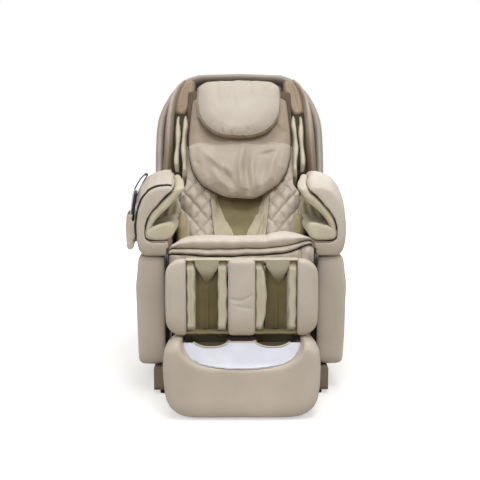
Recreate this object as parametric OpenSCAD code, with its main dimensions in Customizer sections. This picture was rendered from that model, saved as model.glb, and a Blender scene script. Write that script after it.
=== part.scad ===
// Massage chair: a reclining seat with leg rest, foot unit and roller carriage.
// Millimetres, +Z up, the sitter faces -Y, X = 0 is the plane of symmetry.
// The origin is on the floor, below the middle of the chair at rest.

/* [Base] */
// Clear height under the side panels
panel_low = 98; // [90:1:110]
// Height of the top edge of the side panels
panel_top = 513; // [505:1:514]
// Outer face of the side panels from the plane of symmetry
panel_out = 376; // [360:1:384]
// Front end of the side panels
panel_front = -335; // [-345:1:-325]
// Rear end of the side panels
panel_rear = 240; // [200:1:250]
// Wall of the side panels
panel_wall = 8; // [4:1:12]
// Height of the rubber front feet
foot_h = 15; // [10:1:20]
// Width of the steel tubes of the base
base_tube = 40; // [30:1:42]
// Height of the steel base tubes above the floor
base_low = 62; // [55:1:68]
// Radius of the rear castor wheels
castor_r = 35; // [30:1:36]
// Width of a castor wheel
castor_w = 22; // [18:1:24]
// Width of the power box
power_w = 260; // [220:5:300]

/* [Seat] */
// Half width of the seat cushion
seat_half = 250; // [240:1:250]
// Depth of the seat pan along its slope
pan_len = 550; // [520:1:552]
// Thickness of the seat pan
pan_t = 10; // [8:1:10]
// Slope of the seat, rear end down
seat_slope = 13; // [11:0.5:14]
// Crown height of the seat cushion over the pan
cushion_h = 92; // [80:1:100]
// Travel of the seat on its slide rails
slide_travel = 140; // [100:5:150]

/* [Armrests] */
// Underside of the armrests
arm_low = 515; // [514.5:0.5:518]
// Width of an armrest at its front face
arm_w = 116; // [105:1:118]
// Height of an armrest at its front face
arm_h = 259; // [240:1:265]
// Height of the forearm tray above the underside
tray_z = 45; // [38:1:52]
// Thickness of the tray pad
tray_pad = 25; // [18:1:28]

/* [Back] */
// Angle of the back from the vertical at rest
back_tilt = 28; // [26:0.5:29]
// Height of the shell's top edge over the back hinge, along the back
back_top = 852; // [835:1:860]
// Half width of the back shell
shell_half = 366; // [362:1:372]
// Thickness of the padded back panel that hangs from the top
pad_t = 46; // [38:1:50]
// Thickness of the head pillow
pillow_t = 68; // [55:1:75]
// Spacing of the quilting on the back cushion
quilt = 32; // [30:0.5:32]
// Radius of the carriage rails
rail_r = 8; // [6:0.5:9]
// Radius of a massage roller
roller_r = 16; // [12:0.5:17]
// Length of a massage roller
roller_len = 26; // [20:1:28]

/* [Leg rest] */
// Height of the calf unit's lower edge above the floor
calf_low = 272; // [270:1:276]
// Inner edge of a calf channel from the plane of symmetry
channel_in = 77; // [72:1:80]
// Outer edge of a calf channel from the plane of symmetry
channel_out = 153; // [148:1:156]
// Thickness of the calf pads
calf_pad = 45; // [36:1:46]
// Half width of the foot unit
foot_half = 261; // [254:1:262]
// Height of the foot unit's underside above the floor
foot_low = 11; // [11:1:16]
// Radius of the foot slide rods
foot_rod_r = 10; // [8:0.5:11]
// Radius of the sole rollers
sole_r = 24; // [20:0.5:26]

/* [Handset] */
// Length of the handset
handset_len = 145; // [130:1:150]
// Width of the handset
handset_w = 62; // [54:1:66]
// Thickness of the handset
handset_t = 15; // [12:0.5:15]
// Diameter of the handset cord
cord_d = 5; // [4:0.5:6]

/* [Fits] */
// Running clearance between a pin and its bore, on the radius
pin_fit = 0.06; // [0.03:0.01:0.1]
// Clearance between sliding or neighbouring pieces on different bodies
gap = 0.5; // [0.3:0.1:1]

/* [Hidden] */
$fn = 48;
both = [-1, 1];

// Finishes
leather = "#cfc5ba";
lining = "#c4bd9c";
olive = "#7a6d48";
steel = "#4a4c50";
bright = "#b9bcc2";
dark_plastic = "#2b2b2d";
brown_plastic = "#84735f";
silver = "#d2d3dd";
foam = "#8a8578";

// Back hinge, and the frame that the back is drawn in: upright, rear towards +Y
hinge_y = 150;
hinge_z = 430;
// Leg rest hinge
knee_y = -492;
knee_z = 530;
// Front upper edge of the seat pan
pan_y = -470;
pan_z = 520;
// Inner face of the plates beside the seat
plate_in = seat_half + 6;
// Inner face of the armrests
arm_in = seat_half + 14;
// Half width of the calf unit
calf_half = seat_half;

// ---------------------------------------------------------------- helpers

function blend(a, b, t) = a + (b - a) * t;
function mean(p) = [for (i = [0:2]) let (v = [for (q = p) q[i]]) sum(v) / len(v)];
function sum(v, i = 0) = i == len(v) ? 0 : v[i] + sum(v, i + 1);

// One point of a Catmull-Rom stretch from b to c
function stretch(a, b, c, d, t) =
    0.5 * (2 * b + (c - a) * t + (2 * a - 5 * b + 4 * c - d) * t * t + (3 * b - a - 3 * c + d) * t * t * t);

// Smooth open curve through the points, with k steps in each stretch
function curve(p, k) = let (n = len(p) - 1) [
    for (i = [0:n - 1]) for (j = [0:k - 1])
        stretch(p[max(i - 1, 0)], p[i], p[i + 1], p[min(i + 2, n)], j / k),
    p[n]];

// Closed outline from its right half, which runs from the bottom centre to the top centre
function closed(half) = concat(half, [for (i = [len(half) - 2:-1:1]) [-half[i].x, half[i].y]]);

// An outline in X and Z as a ring at depth y, drawn in by inset all round its centre
function ring(outline, y, inset) =
    let (zs = [for (p = outline) p.y], xs = [for (p = outline) p.x],
         cx = (max(xs) + min(xs)) / 2, cz = (max(zs) + min(zs)) / 2,
         kx = 1 - 2 * inset / (max(xs) - min(xs)), kz = 1 - 2 * inset / (max(zs) - min(zs)))
    [for (p = outline) [cx + (p.x - cx) * kx, y, cz + (p.y - cz) * kz]];

// Closed surface through rings that turn right-handed about the way they advance
module loft(rings, quilted = false) {
    n = len(rings[0]);
    m = len(rings);
    points = concat([for (r = rings) each r], [mean(rings[0]), mean(rings[m - 1])]);
    skin = [for (i = [0:m - 2]) for (j = [0:n - 1])
        let (a = i * n + j, b = i * n + (j + 1) % n, c = b + n, d = a + n)
        each quilted && (i + j) % 2 == 1 ? [[a, d, b], [b, d, c]] : [[a, d, c], [a, c, b]]];
    first = [for (j = [0:n - 1]) [m * n, j, (j + 1) % n]];
    last = [for (j = [0:n - 1]) [m * n + 1, (m - 1) * n + (j + 1) % n, (m - 1) * n + j]];
    polyhedron(points, concat(skin, first, last));
}

// Closed surface through open bands: each ring is a front curve and a back curve of equal length
module band_loft(rings) {
    n = len(rings[0]);
    m = len(rings);
    h = n / 2;
    skin = [for (i = [0:m - 2]) for (j = [0:n - 1])
        let (a = i * n + j, b = i * n + (j + 1) % n, c = b + n, d = a + n)
        each j < h ? [[a, d, c], [a, c, b]] : [[a, d, b], [b, d, c]]];
    first = [for (j = [0:h - 2]) each [[j, j + 1, n - 1 - j], [j + 1, n - 2 - j, n - 1 - j]]];
    last = [for (j = [0:h - 2]) let (o = (m - 1) * n)
        each [[o + j + 1, o + j, o + n - 1 - j], [o + n - 2 - j, o + j + 1, o + n - 1 - j]]];
    polyhedron([for (r = rings) each r], concat(skin, first, last));
}

// Cushion on a flat back: outline in X and Z, back plane at y, steps of [depth, inset] to its crown
module cushion(outline, y, steps) {
    loft([for (s = steps) ring(outline, y - s[0], s[1])]);
}

// Box between two corners
module block(low, high) {
    translate(low) cube(high - low);
}

// Cylinder along X, from x0 to x1
module rod_x(x0, x1, y, z, r) {
    translate([x0, y, z]) rotate([0, 90, 0]) cylinder(h = x1 - x0, r = r);
}

// Plate of YZ outline between two planes of X
module plate_x(x0, x1, outline) {
    translate([x0, 0, 0]) rotate([90, 0, 90]) linear_extrude(x1 - x0) polygon(outline);
}

// Rectangle with round corners in the plane of its two sizes, centred
module round_rect(w, h, r) {
    square([w - 2 * r, h], center = true);
    square([w, h - 2 * r], center = true);
    for (x = both, y = both) translate([x * (w / 2 - r), y * (h / 2 - r)]) circle(r);
}

module mirror_x() {
    children();
    mirror([1, 0, 0]) children();
}

// Places its children, drawn upright, on the tilted back
module on_back() {
    translate([0, hinge_y, hinge_z]) rotate([-back_tilt, 0, 0]) children();
}

// Places its children, drawn level, on the sloping seat
module on_seat() {
    translate([0, pan_y, pan_z]) rotate([-seat_slope, 0, 0]) children();
}

// ---------------------------------------------------------------- base

rail_out = plate_in + 30;
rail_in = rail_out - base_tube;
base_front = -350;
base_rear = 390;
base_high = base_low + base_tube;
slide_w = 20;
slide_h = 30.5;
slide_z = 300;
slide_top = slide_z + slide_h;
slide_front = -310;
slide_rear = 200;
castor_y = 430;
castor_x = rail_out - base_tube / 2;
axle_r = 6;
panel_in = rail_out + 10;
// Outer end of the hollow inside a side panel, where the frame's outriggers stop
cave_out = panel_out - 6 - panel_wall;
post_places = [-280, 80];
sheet_y = 52;
sheet_t = 3;

// Two rails, three cross tubes, an upright sheet that screens the rear, and posts with outriggers
// for the side panels
module base_frame() color(steel) {
    mirror_x() {
        block([rail_in, base_front, base_low], [rail_out, base_rear, base_high]);
        for (y = post_places) {
            block([rail_out - slide_w, y, base_high], [rail_out, y + base_tube, slide_z]);
            block([rail_out, y, slide_z - 50], [cave_out, y + base_tube, slide_z - 20]);
        }
        castor_fork();
    }
    for (y = [base_front + 20, 0, base_rear - base_tube])
        block([-rail_in, y, base_low], [rail_in, y + base_tube, base_high]);
    block([-rail_in, sheet_y, base_low], [rail_in, sheet_y + sheet_t, slide_z - 4]);
}

// Two cheeks behind the rail and the axle between them
module castor_fork() {
    side = castor_w / 2 + 2;
    for (x = [castor_x - side - 5, castor_x + side])
        block([x, base_rear, castor_r - 8], [x + 5, castor_y + 14, base_high]);
    block([castor_x - side - 5, base_rear, base_high - 8], [castor_x + side + 5, castor_y + 14, base_high]);
    rod_x(castor_x - side, castor_x + side, castor_y, castor_r, axle_r);
}

module castor() color(dark_plastic)
    translate([castor_x - castor_w / 2, castor_y, castor_r]) rotate([0, 90, 0]) difference() {
        union() {
            translate([0, 0, 2]) cylinder(h = castor_w - 4, r = castor_r);
            cylinder(h = castor_w, r = castor_r - 3);
        }
        translate([0, 0, -1]) cylinder(h = castor_w + 2, r = axle_r + pin_fit);
        for (z = [-1, castor_w - 4]) translate([0, 0, z]) difference() {
            cylinder(h = 5, r = castor_r - 9);
            cylinder(h = 5, r = axle_r + 6);
        }
    }

module castor_left() mirror([1, 0, 0]) castor();
module castor_right() castor();

skirt_w = 34;
skirt_front = -360;
skirt_rear = 405;

// Running boards outside the base rails, hollow towards the floor
module base_skirts() color(brown_plastic) mirror_x() difference() {
    translate([rail_out, 0, 0])
        plate_x(0, skirt_w, [[skirt_front + 8, foot_h], [skirt_rear - 30, foot_h], [skirt_rear, foot_h + 40],
            [skirt_rear, panel_low], [skirt_front, panel_low], [skirt_front, foot_h + 12]]);
    block([rail_out + 4, skirt_front + 30, foot_h - 1],
        [rail_out + skirt_w - 4, skirt_rear - 45, panel_low - 5]);
}

foot_r = 12;
foot_x = rail_out + 1;
foot_y = skirt_front + 26;

// Rubber discs under the skirts' front ends, each on a stem below the rail
module front_feet() color(dark_plastic) mirror_x() translate([foot_x, foot_y, 0]) {
    cylinder(h = foot_h, r = foot_r);
    translate([-9, 0, 0]) cylinder(h = base_low, r = 7);
}

module slide_rails() color(steel) mirror_x()
    block([rail_out - slide_w, slide_front, slide_z], [rail_out, slide_rear, slide_top]);

panel_r_front = 40;
panel_r_rear = 110;

// Outline of a side panel in Y and Z
module panel_side() {
    difference() {
        translate([panel_front, panel_low]) square([panel_rear - panel_front, panel_top - panel_low]);
        translate([panel_rear - panel_r_rear, panel_top - panel_r_rear]) corner_cut(panel_r_rear);
        translate([panel_rear - panel_r_rear, panel_low + panel_r_rear]) mirror([0, 1])
            corner_cut(panel_r_rear);
        translate([panel_front + panel_r_front, panel_low + panel_r_front]) rotate(180)
            corner_cut(panel_r_front);
    }
}

// What a round corner of radius r takes off the first quarter
module corner_cut(r) {
    difference() {
        square(r + 1);
        circle(r);
    }
}

// Outline of a side panel in X and Z, bevelled below and leaning in a little towards its top
module panel_face() {
    r = 24;
    foot = panel_out - 6;
    polygon([[panel_in, panel_low], [foot - r, panel_low], [foot - 0.3 * r, panel_low + 0.3 * r],
        [foot, panel_low + r],
        [panel_out, panel_top - 110], [panel_out - 13, panel_top], [panel_in, panel_top]]);
}

// Padded side panel, hollow towards the frame
module side_panel() color(leather) difference() {
    intersection() {
        translate([panel_in, 0, 0]) rotate([90, 0, 90]) linear_extrude(panel_out - panel_in) panel_side();
        translate([0, panel_rear, 0]) rotate([90, 0, 0]) linear_extrude(panel_rear - panel_front)
            panel_face();
    }
    block([panel_in - 1, panel_front + panel_wall, panel_low + 2 * panel_wall],
        [cave_out, panel_rear - panel_r_rear - 5, panel_top - 50]);
}

module side_panel_left() mirror([1, 0, 0]) side_panel();
module side_panel_right() side_panel();

power_y = base_rear - base_tube;
power_d = 80;
power_h = 110;
power_rear = power_y + power_d;
inlet_x = 70;
inlet_z = base_high + 50;
switch_x = -70;
switch_y = power_rear - 26;
switch_pin_r = 2;

// Supply box on the rear cross tube, with openings for the inlet and the switch and two lugs for its pin
module power_case() difference() {
    block([-power_w / 2, power_y - 20, base_high], [power_w / 2, power_rear - 20, base_high + power_h]);
    block([-power_w / 2 + 4, power_y - 16, base_high + 4],
        [power_w / 2 - 4, power_rear - 24, base_high + power_h - 4]);
    translate([inlet_x - 14, power_rear - 30, inlet_z - 12]) cube([28, 20, 24]);
    translate([switch_x - 12, power_rear - 30, inlet_z - 15]) cube([24, 20, 30]);
}

module power_box() color(dark_plastic) {
    power_case();
    difference() {
        for (x = [switch_x - 15, switch_x + 12])
            block([x, switch_y - 6, inlet_z - 6], [x + 3, power_rear - 24, inlet_z + 6]);
        rod_x(switch_x - 16, switch_x + 16, switch_y, inlet_z, switch_pin_r + pin_fit);
    }
}

// Appliance inlet: a sleeve with three flat pins
module mains_inlet() color(dark_plastic) {
    difference() {
        union() {
            block([inlet_x - 14, power_rear - 44, inlet_z - 12],
                [inlet_x + 14, power_rear - 20, inlet_z + 12]);
            block([inlet_x - 18, power_rear - 20, inlet_z - 16],
                [inlet_x + 18, power_rear - 17, inlet_z + 16]);
        }
        block([inlet_x - 12, power_rear - 40, inlet_z - 9], [inlet_x + 12, power_rear, inlet_z + 9]);
    }
    for (p = [[-7, -3], [0, 3], [7, -3]])
        translate([inlet_x + p[0] - 1, power_rear - 40, inlet_z + p[1] - 2]) cube([2, 16, 4]);
}

// Rocker on a cross pin
module power_switch() color(dark_plastic) {
    plate_x(switch_x - 9, switch_x + 9, [[switch_y - 6, inlet_z - 12], [switch_y + 8, inlet_z - 12],
        [switch_y + 6, inlet_z], [switch_y + 11, inlet_z + 12], [switch_y - 6, inlet_z + 12]]);
    rod_x(switch_x - 14.5, switch_x + 14.5, switch_y, inlet_z, switch_pin_r);
}

// Twin-cylinder air pump on the middle cross tube
module air_pump() color(dark_plastic) {
    block([-80, -10, base_high], [80, base_tube + 10, base_high + 8]);
    block([-55, -10, base_high + 8], [55, base_tube + 10, base_high + 70]);
    for (x = [-68, 68]) translate([x, base_tube / 2, base_high + 8]) cylinder(h = 55, r = 12.9);
    translate([0, base_tube / 2, base_high + 70]) cylinder(h = 14, r = 6);
}

// ---------------------------------------------------------------- seat carriage

plate_t = 5;
plate_out = plate_in + plate_t;
seat_rail_in = plate_in - 30;
seat_front = -345;
seat_rail_z = 301;
seat_rail_h = 60;
seat_rail_top = seat_rail_z + seat_rail_h;
seat_tube = 30;
knee_pin_r = 6;
knee_eye_r = 18;
hinge_pin_r = 8;
cheek_in = seat_rail_in + 6;
cheek_t = 6;
lever_x = 56;
motor_pin_r = 6;
// Fixed pivots of the two lifting motors
recline_foot = [-220, 370];
leg_foot = [-147, 385];
ear_t = 5;
ear_in = 13;

// Two rails with cross tubes, hinge plates and bearers for the pan, and ears for the motors' feet
module seat_frame() color(steel) {
    mirror_x() {
        block([seat_rail_in, seat_front, seat_rail_z], [plate_in, 190, seat_rail_top]);
        side_plate();
        for (y = [-150, 120])
            block([plate_in, y, slide_top + gap], [rail_out, y + base_tube, slide_top + gap + 14]);
        for (y = [-300, 60])
            block([plate_out, y, arm_low - 10], [panel_in - 2, y + seat_tube, arm_low]);
        back_cheek();
        on_seat() for (y = [150, 500])
            block([100, y, -pan_t - 25], [plate_in, y + 25, -pan_t]);
    }
    for (y = [seat_front, recline_foot[0] - seat_tube / 2, leg_foot[0] - seat_tube / 2, 30])
        block([-seat_rail_in, y, seat_rail_z], [seat_rail_in, y + seat_tube, seat_rail_z + seat_tube]);
    motor_ears(lever_x, recline_foot);
    motor_ears(-lever_x, leg_foot);
}

// Plate beside the seat that carries the armrest and, at its nose, the leg rest
module side_plate() {
    difference() {
        union() {
            plate_x(plate_in, plate_out, [[seat_front, seat_rail_z], [150, seat_rail_z], [150, 400],
                [110, arm_low],
                [-330, arm_low], [knee_y - 6, knee_z + 16], [knee_y - 16, knee_z - 8], [-440, 440]]);
            rod_x(plate_in, plate_out, knee_y, knee_z, knee_eye_r);
        }
        rod_x(plate_in - 1, plate_out + 1, knee_y, knee_z, knee_pin_r + pin_fit);
    }
}

// Upright plate that the back turns on
module back_cheek() {
    difference() {
        union() {
            block([cheek_in, hinge_y - 25, seat_rail_top], [cheek_in + cheek_t, hinge_y + 25, hinge_z]);
            rod_x(cheek_in, cheek_in + cheek_t, hinge_y, hinge_z, 25);
        }
        rod_x(cheek_in - 1, cheek_in + cheek_t + 1, hinge_y, hinge_z, hinge_pin_r + pin_fit);
    }
}

// Two ears and the pin between them, on a cross tube
module motor_ears(x, at) {
    for (side = both) {
        x0 = side > 0 ? x + ear_in : x - ear_in - ear_t;
        block([x0, at[0] - 12, seat_rail_z + seat_tube], [x0 + ear_t, at[0] + 12, at[1]]);
        rod_x(x0, x0 + ear_t, at[0], at[1], 12);
    }
    rod_x(x - ear_in, x + ear_in, at[0], at[1], motor_pin_r);
}

// Where the pan's rear slot ends, in front of the recline motor's rod
rod_slot_y = 535;

// Board under the cushion, recessed over the leg motor and slotted for the recline motor's rod
module seat_pan() color(foam) on_seat() difference() {
    block([-seat_half, 0, -pan_t], [seat_half, pan_len, 0]);
    block([-lever_x - 25, -1, -pan_t - 1], [-lever_x + 25, 90, -pan_t / 2]);
    block([lever_x - 20, rod_slot_y, -pan_t - 1], [lever_x + 20, pan_len + 1, 1]);
}

// Side profile of the seat cushion from its lower rear edge over the crown to the folded front lip
function seat_profile(h, sag) = concat(
    [[pan_len - 14, 0], [pan_len - 10, h * 0.62], [pan_len - 30, h * 0.86]],
    [for (y = [440, 330, 220, 120, 60]) [y, h * 0.95 - sag * sin(180 * y / pan_len)]],
    [[28, h], [4, h * 0.96], [-12, h * 0.84], [-18, h * 0.66], [-15, h * 0.5], [-4, h * 0.46],
     [-14, h * 0.41], [-13, h * 0.31], [-2, h * 0.26], [-11, h * 0.2], [-7, h * 0.05], [0, 0]]);

// Depth of the hollow in the middle of the seat
seat_sag = 10;
// Crown of the seat across its width: 1 in the middle, drawn in at the ends
seat_stations = [[-1, 0.66], [-0.97, 0.86], [-0.9, 0.97], [-0.78, 1.02], [-0.57, 0.985], [-0.4, 1],
    [-0.15, 0.97],
    [0.15, 0.97], [0.4, 1], [0.57, 0.985], [0.78, 1.02], [0.9, 0.97], [0.97, 0.86], [1, 0.66]];

module seat_cushion() color(leather) on_seat()
    loft([for (s = seat_stations)
        [for (p = seat_profile(cushion_h * s[1], seat_sag)) [s[0] * seat_half, p.x, p.y]]]);

// Air cushions that stand on the rear of the seat pan's sides
module hip_airbags() color(lining) mirror_x() on_seat() {
    x = seat_half - 30;
    base = seat_profile(cushion_h * 1.02, seat_sag)[3].y - 2;
    loft([for (s = [[0, 0.9], [0.12, 1], [0.5, 1.02], [0.82, 0.9], [0.95, 0.66], [1, 0.3]])
        [for (a = [0:30:330])
            [x + 17 * s[1] * pow2(cos(a)), 400 + 95 * s[1] * pow2(sin(a)) + 10 * s[0], base + 105 * s[0]]]]);
}

// Rounds a cosine towards a square shoulder
function pow2(c) = sign(c) * pow(abs(c), 0.6);

// ---------------------------------------------------------------- armrests

// Skin line of an armrest section from the lip over the crest to the underside. Widths are shares of
// the armrest's width. Heights run from -1 at the underside through 0 at the tray to 1 at the crest
arm_outer = [[-0.09, 0.933], [-0.01, 1], [0.12, 1.006], [0.34, 0.982], [0.56, 0.909], [0.8, 0.746],
    [0.94, 0.552], [1, 0.298], [0.985, 0.056], [0.92, -0.6], [0.78, -1], [0.4, -1], [0, -1]];
// Cavity line of the same section, from the lip to the tray
arm_inner = [[-0.06, 0.879], [0.03, 0.849], [0.12, 0.77], [0.26, 0.685], [0.4, 0.6], [0.54, 0.504],
    [0.66, 0.395], [0.715, 0.274], [0.72, 0.153], [0.7, 0.044], [0.6, 0], [0.3, 0], [0, 0]];
// Face of the padded lining that looks into the cavity
lining_face = [[-0.34, 1], [-0.42, 0.933], [-0.41, 0.855], [-0.24, 0.77], [-0.02, 0.667], [0.18, 0.588],
    [0.36, 0.498], [0.51, 0.383], [0.59, 0.274], [0.625, 0.153], [0.63, 0.06]];
// Width and height of the section along the armrest
arm_widths = [[-350, 0.95], [-343, 0.98], [-290, 1.03], [-230, 1.07], [-170, 1.13], [-80, 1.22], [20, 1.26],
    [70, 1.2], [100, 1.16], [160, 1], [188, 0.86]];
arm_heights = [[-350, 0.97], [-343, 1], [-290, 1.08], [-230, 1.16], [-170, 1.2], [-80, 1.17], [20, 1.1],
    [100, 0.93], [160, 0.7], [188, 0.5]];
// How far the lining's lip stands out along the armrest
lip_reach = [[-343, 0.3], [-290, 0.9], [-230, 1], [-80, 1], [20, 0.8], [70, 0.6]];
// Front and thickness of the wall that closes the cavity behind the elbow
elbow_y = 70;
elbow_t = 22;
tray_top = arm_low + tray_z;

function arm_point(p, y) = [
    arm_in + arm_w * p[0] * (p[0] > 0 ? lookup(y, arm_widths) : 1), y,
    tray_top + (p[1] < 0 ? p[1] * tray_z : p[1] * (arm_h - tray_z) * lookup(y, arm_heights))];

// Ring of a band between two lines of equal length
function band(outer, inner, y) = concat(
    [for (p = outer) arm_point(p, y)], [for (i = [len(inner) - 1:-1:0]) arm_point(inner[i], y)]);

module armrest() color(leather) {
    band_loft([for (w = arm_widths) band(arm_outer, arm_inner, w[0])]);
    loft([for (y = [elbow_y + gap, elbow_y + elbow_t])
        [for (i = [0:len(arm_inner) - 1]) arm_point(blend(arm_inner[i], arm_outer[i], 0.35), y)]]);
}
module armrest_left() mirror([1, 0, 0]) armrest();
module armrest_right() armrest();

// Padded lining of the cavity, with a thick roll along the lip
module armrest_lining() color(lining) {
    seat = concat([arm_outer[0]], [for (i = [0:len(lining_face) - 2]) arm_inner[i]]);
    band_loft([for (w = arm_widths) if (w[0] > arm_widths[0][0] && w[0] <= elbow_y)
        band(seat, [for (i = [0:len(seat) - 1]) blend(seat[i], lining_face[i],
            i < 4 ? lookup(w[0], lip_reach) : 1)], w[0])]);
}
module armrest_lining_left() mirror([1, 0, 0]) armrest_lining();
module armrest_lining_right() armrest_lining();

// Pad under the forearm, its inner end rounded towards the seat
module armrest_tray() color(lining) {
    x0 = arm_in - 12;
    x1 = arm_in + 0.58 * arm_w;
    loft([for (s = [[-338, 0.6], [-330, 0.9], [-300, 1], [-200, 0.96], [-60, 0.96], [20, 0.96],
        [elbow_y - 8, 0.8]])
        let (t = tray_pad * s[1], w = (x1 - x0) * (1 - s[1]) / 2)
        [for (p = [[x0 + 12, 0], [x0 + w, t * 0.35], [x0 + w + 4, t * 0.8], [x0 + 22, t], [x1 - 24, t * 0.94],
            [x1 - 6, t * 0.6], [x1, 0]]) [p[0], s[0], tray_top + p[1]]]]);
}
module armrest_tray_left() mirror([1, 0, 0]) armrest_tray();
module armrest_tray_right() armrest_tray();

// ---------------------------------------------------------------- saddlebag, handset and cord

strap_t = 6;
strap_lift = 0.6;
strap_stations = [-338, -290, -230, -168];
pouch_x = arm_in + 131;
pouch_y = -250;
pouch_turn = -4;
pouch_d = 150;
pouch_low = 532;
pouch_high = 664;
pouch_out = 27;
pocket_low = 598;
handset_lean = -9;

// Point of the armrest's skin, moved out square to the skin
function skin_point(i, y, out) =
    let (p = arm_point(arm_outer[i], y),
         d = arm_point(arm_outer[i + 1], y) - arm_point(arm_outer[max(i - 1, 0)], y), n = norm([d.x, d.z]))
    p + out * [-d.z / n, 0, d.x / n];

// Places its children on the pouch's inner wall, X outwards
module on_pouch() {
    translate([pouch_x, pouch_y, 0]) rotate([0, 0, pouch_turn]) children();
}

// Places its children at the middle of the handset's lower end, X through its face, Z along it
module on_handset() {
    on_pouch()
        translate([pouch_out - 4 - handset_t / 2, 0, pocket_low + 0.1 - handset_t / 2 * sin(handset_lean)])
            rotate([0, handset_lean, 0]) children();
}

// Strap over the left armrest with a pocket for the handset on its outer side
module saddlebag() color(leather) mirror([1, 0, 0]) {
    band_loft([for (y = strap_stations) concat(
        [for (i = [1:8]) skin_point(i, y, strap_lift + strap_t)],
        [for (i = [8:-1:1]) skin_point(i, y, strap_lift)])]);
    on_pouch() difference() {
        translate([0, pouch_d / 2, 0]) rotate([90, 0, 0]) linear_extrude(pouch_d)
            polygon([[0, pouch_low + 8], [16, pouch_low], [25, pouch_low + 13], [pouch_out, pouch_low + 50],
                [pouch_out, pouch_high - 44], [pouch_out - 4, pouch_high], [0, pouch_high]]);
        translate([0, pouch_d / 2 - 4, 0]) rotate([90, 0, 0]) linear_extrude(pouch_d - 8)
            polygon([[-1, pocket_low], [pouch_out - 3, pocket_low], [pouch_out - 3, pouch_high - 44],
                [pouch_out - 7, pouch_high + 1], [-1, pouch_high + 1]]);
    }
}

key_r = 5;
key_travel = 1.2;
key_stand = 1.5;
key_depth = 4;
key_places = [handset_len - 18, handset_len - 34, handset_len - 50];

module handset() color(dark_plastic) mirror([1, 0, 0]) on_handset() difference() {
    translate([-handset_t / 2, 0, handset_len / 2]) rotate([90, 0, 90]) linear_extrude(handset_t)
        round_rect(handset_w, handset_len, 12);
    for (z = key_places) translate([handset_t / 2 - key_depth - key_travel, 0, z]) rotate([0, 90, 0])
        cylinder(h = 10, r = key_r + gap);
}

module handset_key(i) color(silver) mirror([1, 0, 0]) on_handset()
    translate([handset_t / 2 - key_depth + gap, 0, key_places[i]]) rotate([0, 90, 0])
        cylinder(h = key_depth + key_stand - gap, r = key_r);
module key_power() handset_key(0);
module key_up() handset_key(1);
module key_down() handset_key(2);

gland_at = [-150 - arm_in, 45, 588];

// Elbow that brings the cord out of the armrest's rear flank and points it down
module cord_gland() color(dark_plastic) {
    translate(gland_at) cylinder(h = 20, r = 6);
    translate(gland_at + [-6, -9, 4]) cube([14, 18, 12]);
    rod_x(gland_at.x + 8, gland_at.x + 18, gland_at.y, gland_at.z + 10, 5);
}

// Route of the cord from the gland, in a loop behind the pouch, up and over to the handset. X is
// measured from the armrest's inner face
cord_route = [for (p = [[-150, 45, 588], [-150, 45, 572], [-151, 38, 548], [-151, 12, 530], [-151, -30, 522],
    [-150, -72, 532], [-149, -102, 560], [-148, -120, 604], [-144, -132, 652], [-131, -142, 710],
    [-109, -150, 759], [-88, -170, 791], [-86, -205, 800], [-99, -232, 792], [-114, -246, 770],
    [-127, -251, 745]]) p - [arm_in, 0, 0]];
cord_sides = 10;

// Tube of diameter d along a line of points
module tube(line, d, sides) {
    n = len(line) - 1;
    turn = [1, 1, -1];
    loft([for (i = [0:n])
        let (t = line[min(i + 1, n)] - line[max(i - 1, 0)], u0 = cross(t, turn), u = u0 / norm(u0),
             w0 = cross(t, u), w = w0 / norm(w0))
        [for (k = [0:sides - 1]) line[i] + d / 2 * (cos(360 * k / sides) * u + sin(360 * k / sides) * w)]]);
}

module handset_cord() color(dark_plastic) tube(curve(cord_route, 4), cord_d, cord_sides);

// ---------------------------------------------------------------- lifting motors

motor_tube_r = 20;
rod_r = 10;
lever_pin_r = 5;
// Levers that the motors push on: radius and angle from straight down, rearwards
recline_lever = [60, 22];
knee_lever = [40, 19.5];
// Play of the open pivots, which takes up the motors' swing
recline_play = 4;
knee_play = 8;
eye_wall = 4;

function lever_tip(y, z, lever) = [y + lever[0] * sin(lever[1]), z - lever[0] * cos(lever[1])];
recline_tip = lever_tip(hinge_y, hinge_z, recline_lever);
knee_tip = lever_tip(knee_y, knee_z, knee_lever);

// Places its children at a motor's foot, Y towards its tip
module along(x, from, to) {
    translate([x, from[0], from[1]]) rotate([atan2(to[1] - from[1], to[0] - from[0]), 0, 0]) children();
}

// Motor: eye, gear housing, outer tube and motor can beside it
module motor(tube_len, side) color(dark_plastic) difference() {
    union() {
        rod_x(-ear_in + gap, ear_in - gap, 0, 0, 12);
        translate([-ear_in + 1, 0, -11]) cube([2 * ear_in - 2, 26, 22]);
        translate([0, 20, 0]) rotate([-90, 0, 0]) cylinder(h = tube_len - 20, r = motor_tube_r);
        translate([side * 38, 20, 0]) rotate([-90, 0, 0]) cylinder(h = 95, r = 17);
        block([side > 0 ? 0 : -38, 20, -14], [side > 0 ? 38 : 0, 50, 14]);
    }
    rod_x(-ear_in - 1, ear_in + 1, 0, 0, motor_pin_r + pin_fit);
    translate([0, 30, 0]) rotate([-90, 0, 0]) cylinder(h = tube_len, r = rod_r + pin_fit);
}

// Rod with an eye that is wide enough for the open pivot
module motor_rod(start, reach, play) color(bright) difference() {
    union() {
        translate([0, start, 0]) rotate([-90, 0, 0])
            cylinder(h = reach - start - lever_pin_r - play - 2, r = rod_r);
        rod_x(-ear_in + gap, ear_in - gap, reach, 0, lever_pin_r + play + eye_wall);
    }
    rod_x(-ear_in, ear_in, reach, 0, lever_pin_r + play);
}

module recline_motor() along(lever_x, recline_foot, recline_tip) motor(220, 1);
module recline_rod() along(lever_x, recline_foot, recline_tip)
    motor_rod(80, norm(recline_tip - recline_foot), recline_play);
module leg_motor() along(-lever_x, leg_foot, knee_tip) motor(220, -1);
module leg_rod() along(-lever_x, leg_foot, knee_tip) motor_rod(100, norm(knee_tip - leg_foot), knee_play);

// ---------------------------------------------------------------- back

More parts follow.
